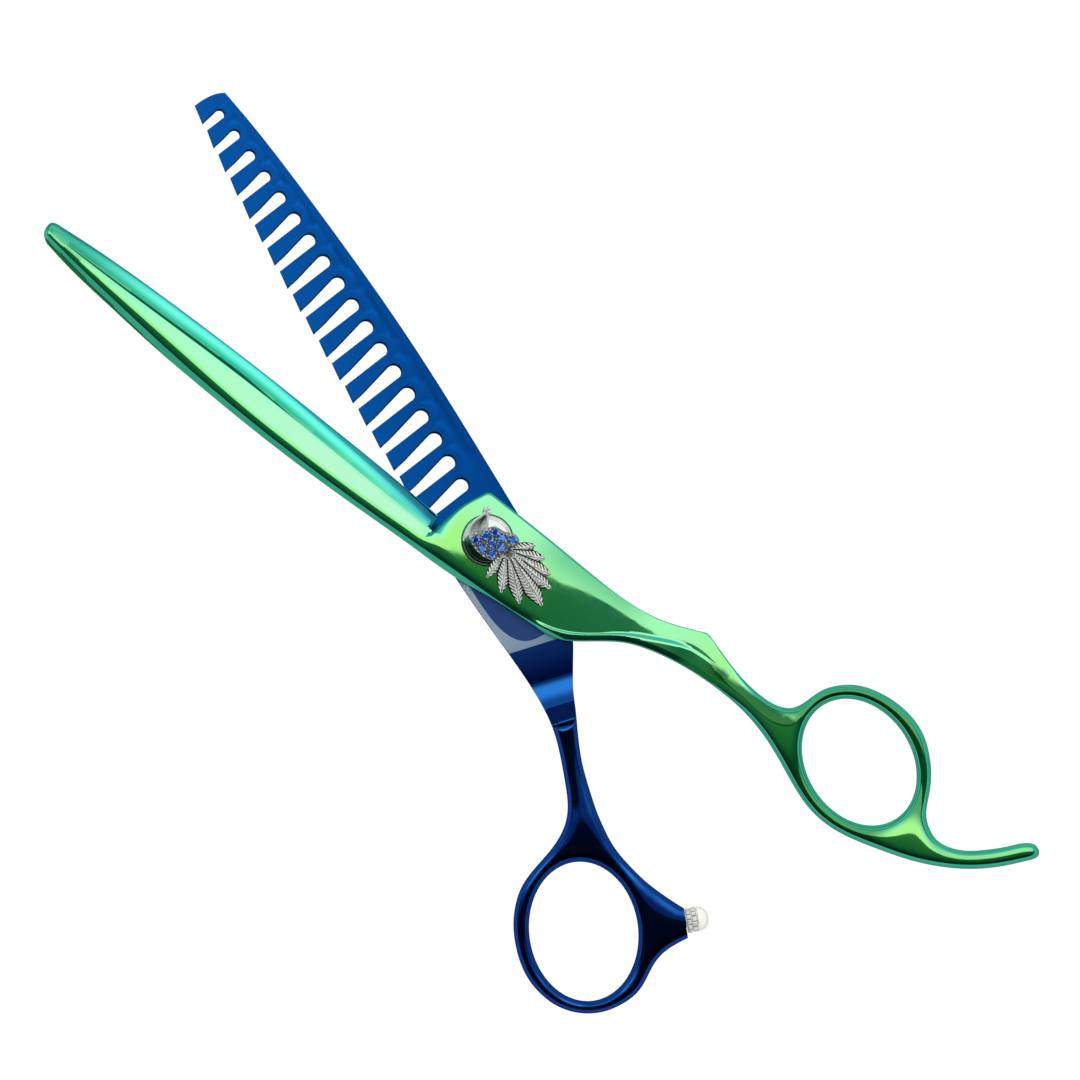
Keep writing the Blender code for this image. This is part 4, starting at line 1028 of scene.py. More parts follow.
def blue_coating():
    g = shader("blue_titanium_coating", metallic=1.0)
    loc = g.place()
    x, y, _ = g.split(loc)
    angle = g.look_angle()
    _, _, normal_z = g.split(g.node("ShaderNodeNewGeometry", out=("True Normal",)))
    # the flat ground inner face ends at a slanting line across the shank
    line = g.math("MULTIPLY_ADD", y, -THUMB_SLANT, x)
    ground = line.span(over=(THUMB_RAMP - 0.05, THUMB_RAMP + 0.05))
    flat = normal_z.span(over=(0.45, 0.55)) * ground
    # polished coating of the shank and ring, with painted reflection streaks: random patches keep the
    # bright face-on blue and the rest is darkened
    dark_between_painted_streaks, dark_reflection_blue = (0.004, 0.04, 0.22), (0.0012, 0.009, 0.085)
    tone = angle.ramp(
        (0.0, 0.018, 0.17, 0.58), (0.18, 0.022, 0.20, 0.70), (0.30, 0.010, 0.10, 0.45),
        (0.42, 0.006, 0.058, 0.33), (0.75, 0.004, 0.035, 0.21), (1.0, 0.003, 0.025, 0.15))
    painted_streaks = g.noise(loc, scale=0.11, detail=1.0).span(over=(0.42, 0.56))
    painted_streaks = g.math("MAXIMUM", painted_streaks, x.span(over=(-40.0, -34.0)))
    painted_streaks = (1.0 - painted_streaks) * angle.span(over=(0.30, 0.45), to=(0.75, 0.0))
    tone = g.mix(painted_streaks, tone, dark_between_painted_streaks)
    # painted dark reflection where the mirrored line of sight leans away from the bright side of the
    # room
    painted_dark_reflection = g.lean().span(over=(0.10, 0.34), to=(1.0, 0.0))
    painted_dark_reflection = painted_dark_reflection * angle.span(over=(0.26, 0.40), to=(1.0, 0.0))
    tone = g.mix(painted_dark_reflection * 0.94, tone, dark_reflection_blue)
    # ground inner face: lighter towards the teeth and the tip
    satin_heel, satin_tip, satin_teeth = (0.0028, 0.115, 0.56), (0.006, 0.185, 0.80), (0.008, 0.24, 0.95)
    cloud_blue = (0.006, 0.21, 0.85)
    satin = g.mix(x.span(over=(5.0, 92.0), smooth=False), satin_heel, satin_tip)
    satin = g.mix(y.span(over=(-6.5, 7.5), to=(0.0, 0.45), smooth=False), satin, satin_teeth)
    cloud = g.noise(loc, scale=0.35).span(over=(0.35, 0.68), to=(0.0, 0.10))
    satin = g.mix(cloud, satin, cloud_blue)
    # relief ground round the pivot: an oval, with a bare crescent where the coating is thin
    bare_heel, bare_pivot, inner = (0.44, 0.56, 0.80), (0.62, 0.71, 0.95), (0.06, 0.12, 0.40)
    oval = abs((x + 6.0) / 13.7) ** 3.0 + abs(y / 7.15) ** 3.0
    oval = oval.span(over=(0.985, 1.015), to=(1.0, 0.0))
    bare = g.mix(x.span(over=(-21.0, -16.0)), bare_heel, bare_pivot)
    zone = g.mix(oval, bare, inner)
    # painted reflection on the polished flat between the ramp line and the relief: dark at the ramp,
    # lighter towards the pivot
    behind = line.span(over=(THUMB_RAMP, -21.0), smooth=False).ramp(
        (0.0, 0.0006, 0.008, 0.08), (0.25, 0.0015, 0.014, 0.13), (0.6, 0.006, 0.034, 0.21),
        (1.0, 0.010, 0.050, 0.27))
    foot = g.math("MULTIPLY_ADD", y, -0.26, x)
    zone = g.mix(foot.span(over=(-21.36, -21.24)), behind, zone)
    satin = g.mix(x.span(over=(-6.0, -1.0), to=(1.0, 0.0)), satin, zone)
    # painted shade: a darker rim and darker slot walls; light wear on the edges
    painted_rim_shade_blue, painted_wall_shade_blue, worn_blue = (0.002, 0.03, 0.20), (0.001, 0.012, 0.09), (0.03, 0.12, 0.4)
    edge = g.attribute("edge")
    satin = g.mix(edge.span(over=(0.05, 0.22), to=(1.0, 0.0)) * 0.55, satin, painted_rim_shade_blue)
    tone = g.mix(flat, tone, satin)
    # painted shade on the slot walls
    wall = x.span(over=(3.0, 5.0)) * abs(normal_z).span(over=(0.35, 0.5), to=(1.0, 0.0))
    tone = g.mix(wall, tone, painted_wall_shade_blue)
    patches = g.noise(loc, scale=2.0, detail=4.0).span(over=(0.55, 0.75), to=(0.0, 0.10))
    worn = edge.span(over=(0.0, 0.05), to=(1.0, 0.0)) * patches
    tone = g.mix(worn, tone, worn_blue)
    grind = g.noise(loc, scale=1.0, detail=5.0, rough=0.65, stretch=(7.0, 0.5, 7.0))
    smear = g.noise(loc, scale=0.6, detail=4.0, rough=0.6)
    polish = smear.span(over=(0.35, 0.7), to=(0.03, 0.06))
    matte = 0.40 + grind.span(over=(0.4, 0.7), to=(-0.03, 0.05))
    rough = g.node("ShaderNodeMix", {0: g.math("MAXIMUM", flat, wall), 2: polish, 3: matte},
                   data_type="FLOAT")
    return coated(g, angle, tone, rough, g.bump(grind, strength=0.05, distance=0.00002))


def steel(name, color, rough, grain):
    """Plain metal with darker patches; grain is the scale of its fine texture."""
    g = shader(name, metallic=1.0)
    loc = g.place()
    fine = g.noise(loc, scale=grain, detail=5.0, rough=0.62, stretch=(1, 1, 1))
    patch = g.noise(loc, scale=0.5).span(over=(0.35, 0.7), to=(0.0, 0.5))
    dark = tuple(0.78 * c for c in color)
    return g.surface({
        "Base Color": g.mix(patch, color, dark),
        "Roughness": fine.span(over=(0.35, 0.75), to=rough),
        "Normal": g.bump(fine, strength=0.08, distance=0.00003)})


def mirror_plating():
    """Bright plating with a painted dark reflection where the mirrored line of sight leans down the
    picture.
    """
    light, dull, painted_room_reflection = (0.90, 0.92, 0.885), (0.74, 0.76, 0.72), (0.06, 0.08, 0.05)
    g = shader("mirror_plating", metallic=1.0)
    loc = g.place()
    fine = g.noise(loc, scale=5.0, detail=5.0, rough=0.62)
    specks = g.noise(loc, scale=1.1, detail=4.0, rough=0.7)
    # painted reflection of a dark room, broken up by specks
    dark = g.lean().span(over=(0.03, -0.05))
    dark = dark * specks.span(over=(0.62, 0.74), to=(1.0, 0.25))
    patch = g.noise(loc, scale=0.5).span(over=(0.35, 0.7), to=(0.0, 0.4))
    return g.surface({
        "Base Color": g.mix(dark * 0.94, g.mix(patch, light, dull), painted_room_reflection),
        "Roughness": fine.span(over=(0.35, 0.75), to=(0.05, 0.12)),
        "Normal": g.bump(fine, strength=0.10, distance=0.00003)})


def cast_silver():
    """Antique cast silver: bright on the raised parts, darkened in the hollows and in painted shade."""
    g = shader("antique_cast_silver", metallic=0.85)
    grain = g.noise(g.place(), scale=5.0, detail=5.0, rough=0.65)
    dark = g.math("ADD", g.attribute("hollow") * 0.95,
                  grain.span(over=(0.5, 0.8), to=(0.0, 0.25)), clamp=True)
    tone = dark.ramp(
        (0.0, 0.96, 0.97, 0.92), (0.28, 0.70, 0.72, 0.66), (0.55, 0.15, 0.165, 0.13),
        (0.8, 0.03, 0.036, 0.026), (1.0, 0.012, 0.015, 0.01))
    return g.surface({
        "Base Color": tone,
        "Roughness": dark.span(over=(0.0, 1.0), to=(0.16, 0.5), smooth=False),
        "Normal": g.bump(grain, strength=0.25, distance=0.00005)})


def gem_glass():
    """Blue glass with a painted reflection: each facet has a brightness of its own."""
    depth_blue = (0.004, 0.03, 0.3)
    g = shader("blue_cut_glass", metallic=0.25)
    tone = g.attribute("facet").ramp(
        (0.0, 0.0005, 0.003, 0.025), (0.28, 0.002, 0.017, 0.16), (0.5, 0.008, 0.08, 0.55),
        (0.74, 0.035, 0.25, 0.95), (1.0, 0.30, 0.62, 1.0))
    depth = g.noise(g.place(), scale=3.0, detail=2.0).span(over=(0.4, 0.65), to=(0.0, 0.35))
    return g.surface({
        "Base Color": g.mix(depth, tone, depth_blue), "Roughness": 0.04, "IOR": 1.7,
        "Coat Weight": 0.15, "Coat Roughness": 0.02})


def pearl():
    light, cream, painted_edge_shade = (0.97, 0.955, 0.90), (0.93, 0.90, 0.82), (0.62, 0.60, 0.52)
    g = shader("silicone_pearl")
    loc = g.place()
    cloud = g.noise(loc, scale=1.2, detail=4.0)
    tone = g.mix(cloud.span(over=(0.35, 0.7), to=(0.0, 0.5)), light, cream)
    # painted shade: the cap darkens towards its outline at a grazing view
    grazing = g.look_angle().span(over=(0.45, 0.95), to=(0.0, 0.75))
    return g.surface({
        "Base Color": g.mix(grazing, tone, painted_edge_shade),
        "Roughness": cloud.span(over=(0.3, 0.7), to=(0.22, 0.34)),
        "Coat Weight": 0.25, "Coat Roughness": 0.08,
        "Normal": g.bump(g.noise(loc, scale=9.0), strength=0.05, distance=0.00002)})


def link_metal():
    """Polished square links, grey in the seams between them."""
    light, dull, seam = (0.86, 0.86, 0.81), (0.72, 0.73, 0.67), (0.16, 0.18, 0.14)
    g = shader("polished_link_metal", metallic=0.35)
    cloud = g.noise(g.place(), scale=1.5, detail=4.0)
    tone = g.mix(cloud.span(over=(0.35, 0.7)), light, dull)
    return g.surface({
        "Base Color": g.mix(g.attribute("hollow").span(over=(0.1, 0.7)), tone, seam),
        "Roughness": cloud.span(over=(0.3, 0.7), to=(0.24, 0.36)),
        "Normal": g.bump(cloud, strength=0.03, distance=0.00002)})


def nylon():
    light, dull = (0.86, 0.85, 0.80), (0.80, 0.78, 0.72)
    g = shader("nylon_bush")
    cloud = g.noise(g.place(), scale=2.5, detail=5.0)
    return g.surface({
        "Base Color": g.mix(cloud.span(over=(0.35, 0.7)), light, dull),
        "Roughness": cloud.span(over=(0.3, 0.7), to=(0.38, 0.5)),
        "Subsurface Weight": 0.1, "Subsurface Scale": 0.0008,
        "Normal": g.bump(cloud, strength=0.15, distance=0.00003)})


GREEN, BLUE = green_coating(), blue_coating()
# a spare finish that stays in the file; no piece wears it
steel("bright_plating", (0.90, 0.90, 0.885), rough=(0.05, 0.16), grain=5.0)
MIRROR = mirror_plating()
TURNED = steel("turned_screw_steel", (0.60, 0.60, 0.61), rough=(0.18, 0.34), grain=9.0)
BRONZE = steel("glide_bronze", (0.74, 0.53, 0.27), rough=(0.22, 0.38), grain=8.0)
CAST, GEM, PEARL, LINK, NYLON = cast_silver(), gem_glass(), pearl(), link_metal(), nylon()


# ---- helpers for small pieces ------------------------------------------------------------------
def mesh_object(name, points, faces, material, sharp, **attributes):
    """An object smoothed up to the sharp angle in degrees; 0 leaves it faceted."""
    mesh = new_mesh(name, np.array(points), faces)
    write_attribute(mesh, "loc", points, "FLOAT_VECTOR")
    for key, values in attributes.items():
        domain = "POINT" if len(values) == len(points) else "FACE"
        write_attribute(mesh, key, values, domain=domain)
    mesh.materials.append(material)
    if sharp:
        mesh.shade_smooth()
        mesh.set_sharp_from_angle(angle=math.radians(sharp))
    return link_object(name, mesh)


def hand_over(obj, node, body):
    """Puts a fine piece in the place of a solid."""
    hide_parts(node)
    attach(obj, body)


def face_outward(obj):
    shell = bmesh.new()
    shell.from_mesh(obj.data)
    bmesh.ops.recalc_face_normals(shell, faces=shell.faces)
    shell.to_mesh(obj.data)
    shell.free()


def lathe(profile, steps, closed=False):
    """Turns (radius, height) pairs about +Z, from the top down the outer side."""
    points, faces, rings = [], [], []
    for radius, z in profile:
        if radius < 1e-6:
            rings.append([len(points)])
            points.append((0, 0, z))
            continue
        rings.append(list(range(len(points), len(points) + steps)))
        points += ring_points(0, 0, radius, z, steps, 0)
    for a, b in [*zip(rings, rings[1:])] + ([(rings[-1], rings[0])] if closed else []):
        for i in range(steps):
            j = (i + 1) % steps
            if len(a) == 1:
                faces.append((a[0], b[i], b[j]))
            elif len(b) == 1:
                faces.append((a[i], b[0], a[j]))
            else:
                faces.append((a[i], b[i], b[j], a[j]))
    return np.array(points), faces


def ring_points(x, y, radius, z, count, start):
    angles = [start + 2 * math.pi * i / count for i in range(count)]
    return [(x + radius * math.cos(a), y + radius * math.sin(a), z) for a in angles]


def tube_faces(rings, sides):
    """Quads between stacked rings of points."""
    return [(k * sides + i, k * sides + (i + 1) % sides,
             (k + 1) * sides + (i + 1) % sides, (k + 1) * sides + i)
            for k in range(rings - 1) for i in range(sides)]


def at_bumper(points):
    """Points made along +Z, laid along the bumper and swung with the thumb half."""
    direction = Vector((*BUMPER_DIR, 0)).normalized()
    rotation = np.array(Vector((0, 0, 1)).rotation_difference(direction).to_matrix())
    placed = np.asarray(points) @ rotation.T + np.array((*BUMPER_AT, Z_THUMB))
    return placed @ turn_matrix(OPEN).T


class Shells:
    """Gathers closed shells into one mesh, with a hollow value at each point, which also carries painted
    shade.
    """

    def __init__(self):
        self.points, self.faces, self.hollow, self.count = [], [], [], 0

    def add(self, points, faces, hollow):
        self.points.append(np.asarray(points, float))
        self.faces += [tuple(i + self.count for i in face) for face in faces]
        self.hollow.append(np.broadcast_to(np.asarray(hollow, float), (len(points),)))
        self.count += len(points)

    def add_ball(self, x, y, z, radius, hollow, squash=1.0, rings=7, steps=14):
        profile = [(radius * math.sin(math.pi * i / rings),
                    radius * squash * math.cos(math.pi * i / rings)) for i in range(rings + 1)]
        profile[0], profile[-1] = (0, radius * squash), (0, -radius * squash)
        points, faces = lathe(profile, steps)
        self.add(points + np.array((x, y, z)), faces, hollow)

    def add_wire(self, path, z, radius, sides, hollow):
        """A level round wire along a path, with closed ends."""
        path = np.column_stack([path, np.full(len(path), z)])
        along = np.gradient(path, axis=0)
        along /= np.linalg.norm(along, axis=1)[:, None]
        points = []
        for center, forward in zip(path, along):
            side = np.cross((0, 0, 1), forward)
            side /= np.linalg.norm(side)
            up = np.cross(forward, side)
            for angle in (2 * math.pi * i / sides for i in range(sides)):
                points.append(center + radius * (math.cos(angle) * side + math.sin(angle) * up))
        faces = tube_faces(len(path), sides)
        n = len(points)
        points += [path[0], path[-1]]
        faces += [(n, (i + 1) % sides, i) for i in range(sides)]
        faces += [(n + 1, n - sides + i, n - sides + (i + 1) % sides) for i in range(sides)]
        self.add(points, faces, hollow)

    def make(self, name, material, sharp):
        return mesh_object(name, np.concatenate(self.points), self.faces, material, sharp,
                           hollow=np.concatenate(self.hollow))


def sheet_faces(rows, cols, mirrored=False):
    """Faces of a closed sheet: a grid of upper points followed by the same grid below."""
    width = cols + 1
    total = (rows + 1) * width
    first, second = (width, 1) if mirrored else (1, width)
    faces = []
    for i in range(rows):
        for j in range(cols):
            a = i * width + j
            quad = (a, a + first, a + first + second, a + second)
            faces += [quad[::-1], tuple(total + k for k in quad)]

    def side(a, b, reverse):
        quad = (a, total + a, total + b, b)
        faces.append(quad[::-1] if reverse else quad)

    for i in range(rows):
        a, b = i * width, (i + 1) * width
        side(a, b, not mirrored)
        side(a + cols, b + cols, mirrored)
    for j in range(cols):
        side(j, j + 1, mirrored)
        side(rows * width + j, rows * width + j + 1, not mirrored)
    return faces


# ---- the screw that carries the ornament -------------------------------------------------------
def tension_screw():
    head_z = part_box("pivot_screw")[1].z / MM
    # radius and drop below the top of the head: domed face, fine groove, rounded side
    drops = [(0, 0)] + [(r, 0.0135 * r * r) for r in np.linspace(0.5, 3.75, 14)] + [
        (3.80, 0.24), (3.86, 0.25), (3.92, 0.215), (4.1, 0.26), (4.28, 0.35), (4.42, 0.49),
        (4.52, 0.68), (4.56, 0.88), (4.56, 1.35), (4.5, 1.48), (4.35, 1.6), (2.5, 1.6),
        (2.45, 1.66)]
    shank = [(2.45, 1.3), (2.35, 1.12), (2.15, 1.0), (0, 1.0)]
    points, faces = lathe([(r, head_z - drop) for r, drop in drops] + shank, 128)
    screw = mesh_object("tension_screw_fine", points, faces, MIRROR, 28)
    hand_over(screw, "pivot_screw", DIAL_BODY)


tension_screw()

# ---- the cast ornament: a spray of barbed leaves, a bed of stones, a wire loop and a finial ----
BED_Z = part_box("ornament_casting")[0].z / MM  # underside of the casting
GIRDLE = BED_Z + 1.10  # top of the stone cups
WIRE_Z = BED_Z + 0.52
HUB = np.array((-3.7, -0.7))
LEAVES = [  # tip x, tip y, half width, sideways bow, order in the pile
    (-3.7, 5.72, 0.95, 0.10, 0), (-7.45, 6.42, 1.2, 0.14, 1), (-11.4, 6.15, 1.45, 0.22, 2),
    (-14.95, 4.05, 1.8, 0.16, 3), (-14.5, 0.6, 1.6, -0.14, 2), (-12.9, -1.5, 1.5, -0.28, 1),
    (-10.4, -3.3, 1.35, -0.32, 2), (-7.6, -4.3, 1.1, -0.28, 0)]
TIP_ANGLES = [math.atan2(q[1] - HUB[1], q[0] - HUB[0]) % (2 * math.pi) for q in LEAVES]
STONE_R = 0.83
STONES = [
    (-2.0, 1.6), (0.0, 1.75), (1.75, 1.15), (-2.9, -0.25), (-1.1, -0.1), (0.75, -0.55),
    (-2.0, -1.95), (-0.25, -1.95), (-3.75, -2.7)]
BEADS = [
    (-3.95, 0.75), (-3.3, 1.55), (-1.0, 2.6), (0.95, 2.3), (2.35, 0.15), (-3.6, -1.6),
    (-1.15, -1.1), (1.2, -1.35), (-2.85, -3.15), (-4.5, -1.2)]
BED = [
    (-4.95, -0.4), (-4.3, 0.95), (-2.9, 2.35), (-0.6, 2.8), (1.4, 2.4), (2.75, 1.3),
    (2.5, -0.3), (1.5, -1.5), (0.3, -2.9), (-1.7, -3.1), (-3.2, -3.75), (-4.75, -3.2),
    (-4.98, -1.8), (-4.95, -0.4)]
BED_LEVELS = [  # scale about the middle, height
    (0.97, 0.0), (1.0, 0.08), (1.0, 0.45), (0.985, 0.58), (0.94, 0.68), (0.86, 0.74),
    (0.6, 0.78), (0.3, 0.8)]
OUTER_WIRE = [(1.2, 1.6), (2.9, 1.2), (3.75, 0.1), (3.9, -1.4), (3.45, -2.9), (3.1, -4.0)]
INNER_WIRE = [(0.6, -0.9), (1.35, -1.9), (2.0, -2.9), (2.75, -4.0)]
WEB_OUTER = [(1.6, 1.5), (2.9, 1.1), (3.65, 0.05), (3.8, -1.4), (3.35, -2.85), (3.05, -3.9)]
WEB_INNER = [(0.5, -0.7), (1.35, -1.9), (2.0, -2.9), (2.8, -3.95)]
FINIAL = [(3.5, -4.35, 0.43), (2.72, -4.27, 0.43), (3.13, -4.74, 0.42), (2.95, -3.75, 0.34)]


def add_leaf(shells, own):
    """A keeled blade with slanting barbs, a raised double midrib and a finely notched edge."""
    tip_x, tip_y, half, bow, order = LEAVES[own]
    axis = np.array((tip_x, tip_y)) - HUB
    length = float(np.linalg.norm(axis))
    along = axis / length
    sideways = np.array((-along[1], along[0]))
    rows, cols, start = int(length * 15), 30, 0.06
    others = [angle for k, angle in enumerate(TIP_ANGLES) if k != own]
    top, low, hollow = [], [], []
    for i in range(rows + 1):
        s = start + (1 - start) * i / rows
        at = s * length
        shape = min(1.0, 0.45 + s) * max(0.0, 1 - max(0.0, (s - 0.56) / 0.44) ** 1.6) ** 0.85
        notch = 0.075 * abs(math.sin(math.pi * at / 0.72)) if 0.2 < s <= 0.985 else 0.0
        width = max(half * shape + notch, 0.015)
        center = HUB + along * at + sideways * bow * 4 * s * (1 - s)
        droop = BED_Z + 0.52 + 0.10 * order - 0.0050 * at * at
        for j in range(cols + 1):
            q = -1 + 2 * j / cols
            offset = q * width
            side, off = abs(q), abs(offset)
            phase = (at + (0.85 + 0.1 * (own % 3)) * off) / 0.64 + 0.37 * own
            barb = 1 - (0.5 - 0.5 * math.cos(2 * math.pi * phase)) ** 2
            rib = math.exp(-(((off - 0.15) / 0.10) ** 2)) * (1 - s) ** 0.2
            groove = math.exp(-((offset / 0.055) ** 2))
            crown = 0.28 * (1 - side**1.6)
            barbed = off > 0.27
            z = droop + crown + 0.15 * rib
            z += 0.22 * (barb - 0.55) * side**0.4 * (1 if barbed else 0.1)
            x, y = center + sideways * offset
            # a dark crease where two leaves meet
            angle = math.atan2(y - HUB[1], x - HUB[0]) % (2 * math.pi)
            nearest_other = min(abs(angle - k) for k in others)
            split = (nearest_other - abs(angle - TIP_ANGLES[own])) * at
            crease = math.exp(-((split / 0.22) ** 2)) if s > 0.16 else 0.0
            top.append((x, y, z - 0.16 * crease))
            low.append((x, y, droop - 0.22 * (1 - q * q)))
            dark = (1 - barb) * (0.95 if barbed else 0.0) * (0.6 + 0.4 * side)
            # painted shade along the outer edges of each leaf
            dark += 0.95 * min(1.0, max(0.0, side - 0.82) * 7) + 0.8 * groove
            dark = max(dark * (1 - 0.85 * rib) + 0.5 * (s < 0.14), 1.1 * crease)
            hollow.append(min(1.0, dark * (0.9 if order % 2 else 1.05)))
    # painted shade: the undersides of the leaves are made fully dark
    shells.add(top + low, sheet_faces(rows, cols), hollow + [1.0] * len(top))


def add_bed(shells):
    """A soft-edged plate under the stones."""
    outline = spline(BED, 0.22)[:-1]
    middle = outline.mean(0)
    if np.cross(outline[1] - outline[0], outline[2] - outline[1]) < 0:
        outline = outline[::-1]
    points, count, rings = [], len(outline), len(BED_LEVELS)
    for scale, z in BED_LEVELS:
        points += [(*(middle + (q - middle) * scale), BED_Z + z) for q in outline]
    faces = tube_faces(rings, count)
    bottom, last = len(points), (rings - 1) * count
    points += [(*middle, BED_Z), (*middle, BED_Z + BED_LEVELS[-1][1])]
    faces += [(bottom, (i + 1) % count, i) for i in range(count)]
    faces += [(bottom + 1, last + i, last + (i + 1) % count) for i in range(count)]
    shells.add(points, faces, 0.5)


def add_cup(shells, number, x, y):
    """A bezel cup and four claws that hold a stone."""
    r = STONE_R
    profile = [
        (r + 0.01, GIRDLE - 0.04), (r + 0.05, GIRDLE), (r + 0.09, GIRDLE - 0.05),
        (r + 0.12, GIRDLE - 0.2), (r + 0.12, BED_Z + 0.55), (r - 0.25, BED_Z + 0.55),
        (r - 0.05, GIRDLE - 0.25)]
    points, faces = lathe(profile, 36, True)
    hollow = np.repeat([0.6, 0.1, 0.35, 0.8, 1.0, 1.0, 0.9], 36)
    shells.add(points + (x, y, 0), faces, hollow)
    for k in range(4):
        a = math.pi / 4 + k * math.pi / 2 + 0.35 * number
        shells.add_ball(x + (r + 0.04) * math.cos(a), y + (r + 0.04) * math.sin(a),
                        GIRDLE + 0.07, 0.15, 0.05, squash=0.8, rings=6, steps=10)


def add_web(shells):
    """The dished web between the two wires."""
    rows, cols = 26, 17
    outer, inner = (
        line[np.linspace(0, len(line) - 1, rows).astype(int)]
        for line in (spline(WEB_OUTER, 0.1), spline(WEB_INNER, 0.1)))
    points, hollow = [], []
    for upper in (True, False):
        for i in range(rows):
            for j in range(cols):
                q = j / (cols - 1)
                dip = 4 * q * (1 - q)
                z = WIRE_Z - 0.02 + (0.05 - 0.16 * dip if upper else -0.25)
                points.append((*(outer[i] * (1 - q) + inner[i] * q), z))
                # painted shade: darker towards the far end of the web, most in the dished middle
                hollow.append(0.08 + (0.35 + 0.45 * dip) * (i / rows) ** 1.4
                              + 0.3 * (abs(q - 0.5) < 0.1) * (i / rows))
    shells.add(points, sheet_faces(rows - 1, cols - 1, mirrored=True), hollow)


def ornament():
    shells = Shells()
    for own in range(len(LEAVES)):
        add_leaf(shells, own)
    add_bed(shells)
    for i, (x, y) in enumerate(STONES):
        add_cup(shells, i, x, y)
    for x, y in BEADS:
        shells.add_ball(x, y, BED_Z + 0.86, 0.24, 0.1, squash=0.8, steps=12)
    shells.add_wire(spline(OUTER_WIRE, 0.2), WIRE_Z + 0.05, radius=0.30, sides=12, hollow=0.1)
    shells.add_wire(spline(INNER_WIRE, 0.2), WIRE_Z + 0.05, radius=0.20, sides=10, hollow=0.15)
    add_web(shells)
    for x, y, radius in FINIAL:
        shells.add_ball(x, y, BED_Z + 0.53, radius, 0.08, rings=9, steps=16)
    casting = shells.make("ornament_fine", CAST, 32)
    face_outward(casting)
    hand_over(casting, "ornament_casting", DIAL_BODY)


def brilliant(x, y, base, turn):
    """A round brilliant: table, star, kite and girdle facets over a pointed pavilion."""
    girdle = base + 0.49
    points = []
    for scale, rise, count, start in (
            (0.52, 0.36, 8, turn), (0.76, 0.22, 8, turn + math.pi / 8),
            (1.0, 0.02, 16, turn), (1.0, -0.06, 16, turn)):
        points += ring_points(x, y, scale * STONE_R, girdle + rise, count, start)
    points.append((x, y, base))
    faces = [tuple(range(8))]
    for i in range(8):
        mid = 16 + 2 * i
        faces += [(i, 8 + i, (i + 1) % 8), (i, 8 + (i - 1) % 8, mid, 8 + i),
                  (8 + i, mid, mid + 1), (8 + i, mid + 1, 16 + (2 * i + 2) % 16)]
    for i in range(16):
        j = (i + 1) % 16
        faces += [(16 + i, 32 + i, 32 + j, 16 + j), (32 + i, 48, 32 + j)]
    return points, faces


def stones():
    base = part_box("stone_1")[0].z / MM
    for i, (x, y) in enumerate(STONES):
        points, faces = brilliant(x, y, base, 0.4 * i)
        # painted reflection: each facet gets its own brightness, and the table a steadier one
        tone = [(0.5 + 0.5 * math.sin(12.9898 * (i + 1) + 78.233 * k)) ** 1.5
                for k in range(len(faces))]
        tone[0] = 0.58 + 0.3 * math.sin(2.4 * i)
        gem = mesh_object(f"stone_{i + 1}_cut", points, faces, GEM, 0, facet=tone)
        face_outward(gem)
        hand_over(gem, f"stone_{i + 1}", DIAL_BODY)


ornament()
stones()


# ---- the bumper: a two-row collar of square links and a pearly cap -----------------------------
def bumper_collar():
    steps, links, link_r = 96, 14, 2.08
    band = [  # radius, height, hollow
        (2.16, 2.22, 0.1), (2.2, 2.16, 0.0), (2.2, 2.05, 0.2), (2.08, 1.98, 0.8),
        (2.08, 1.2, 0.8), (2.19, 1.14, 0.2), (2.19, 1.02, 0.2), (2.08, 0.96, 0.8),
        (2.08, 0.3, 0.8), (2.2, 0.22, 0.2), (2.2, 0.1, 0.0), (2.14, 0.05, 0.2),
        (1.56, 0.05, 0.5), (1.56, 2.22, 0.5)]
    link_levels = ((2.0, 1.0), (2.17, 1.0), (2.30, 0.62), (2.305, 0.3))  # radius, scale
    shells = Shells()
    points, faces = lathe([q[:2] for q in band], steps, True)
    shells.add(points, faces, np.repeat([q[2] for q in band], steps))
    half_width = link_r * math.tan(math.pi / links) * 0.86
    faces = [(0, 3, 2, 1), (12, 13, 14, 15)] + tube_faces(len(link_levels), 4)
    hollow = [0.5] * 4 + [0.15] * 4 + [0.0] * 8
    for row, (low, high) in enumerate(((0.27, 0.98), (1.18, 2.0))):
        middle, half_height = (low + high) / 2, (high - low) / 2
        for i in range(links):
            angle = 2 * math.pi * (i + 0.5 * row) / links
            c, s = math.cos(angle), math.sin(angle)
            points = [
                (r * c - u * k * half_width * s, r * s + u * k * half_width * c,
                 middle + v * k * half_height)
                for r, k in link_levels for u, v in ((-1, -1), (1, -1), (1, 1), (-1, 1))]
            shells.add(points, faces, hollow)
    collar = shells.make("bumper_collar_fine", LINK, 20)
    # moved after making, so that the texture keeps the collar's own axes
    for vertex, place in zip(collar.data.vertices, at_bumper(np.concatenate(shells.points))):
        vertex.co = Vector(place * MM)
    face_outward(collar)
    hand_over(collar, "bumper_collar", THUMB_BODY)


def bumper_cap():
    profile = [
        (0, 4.15), (0.45, 4.12), (0.9, 4.02), (1.3, 3.85), (1.65, 3.6), (1.92, 3.28),
        (2.1, 2.92), (2.19, 2.6), (2.2, 2.42), (2.17, 2.32), (2.08, 2.27), (0.95, 2.27),
        (0.95, 3.15), (0, 3.15)]
    points, faces = lathe(profile, 72)
    cap = mesh_object("bumper_cap_fine", at_bumper(points), faces, PEARL, 40)
    hand_over(cap, "bumper_dome", THUMB_BODY)


bumper_collar()
bumper_cap()

# ---- finishes on the halves and on the solids that stay as they are ----------------------------
for half, finish, node, slot, body in (
        (finger_fine, GREEN, "finger_half", "green_coating", FINGER_BODY),
        (thumb_fine, BLUE, "thumb_half", "blue_coating", THUMB_BODY)):
    half.data.materials.append(finish)
    hand_over(half, node, body)


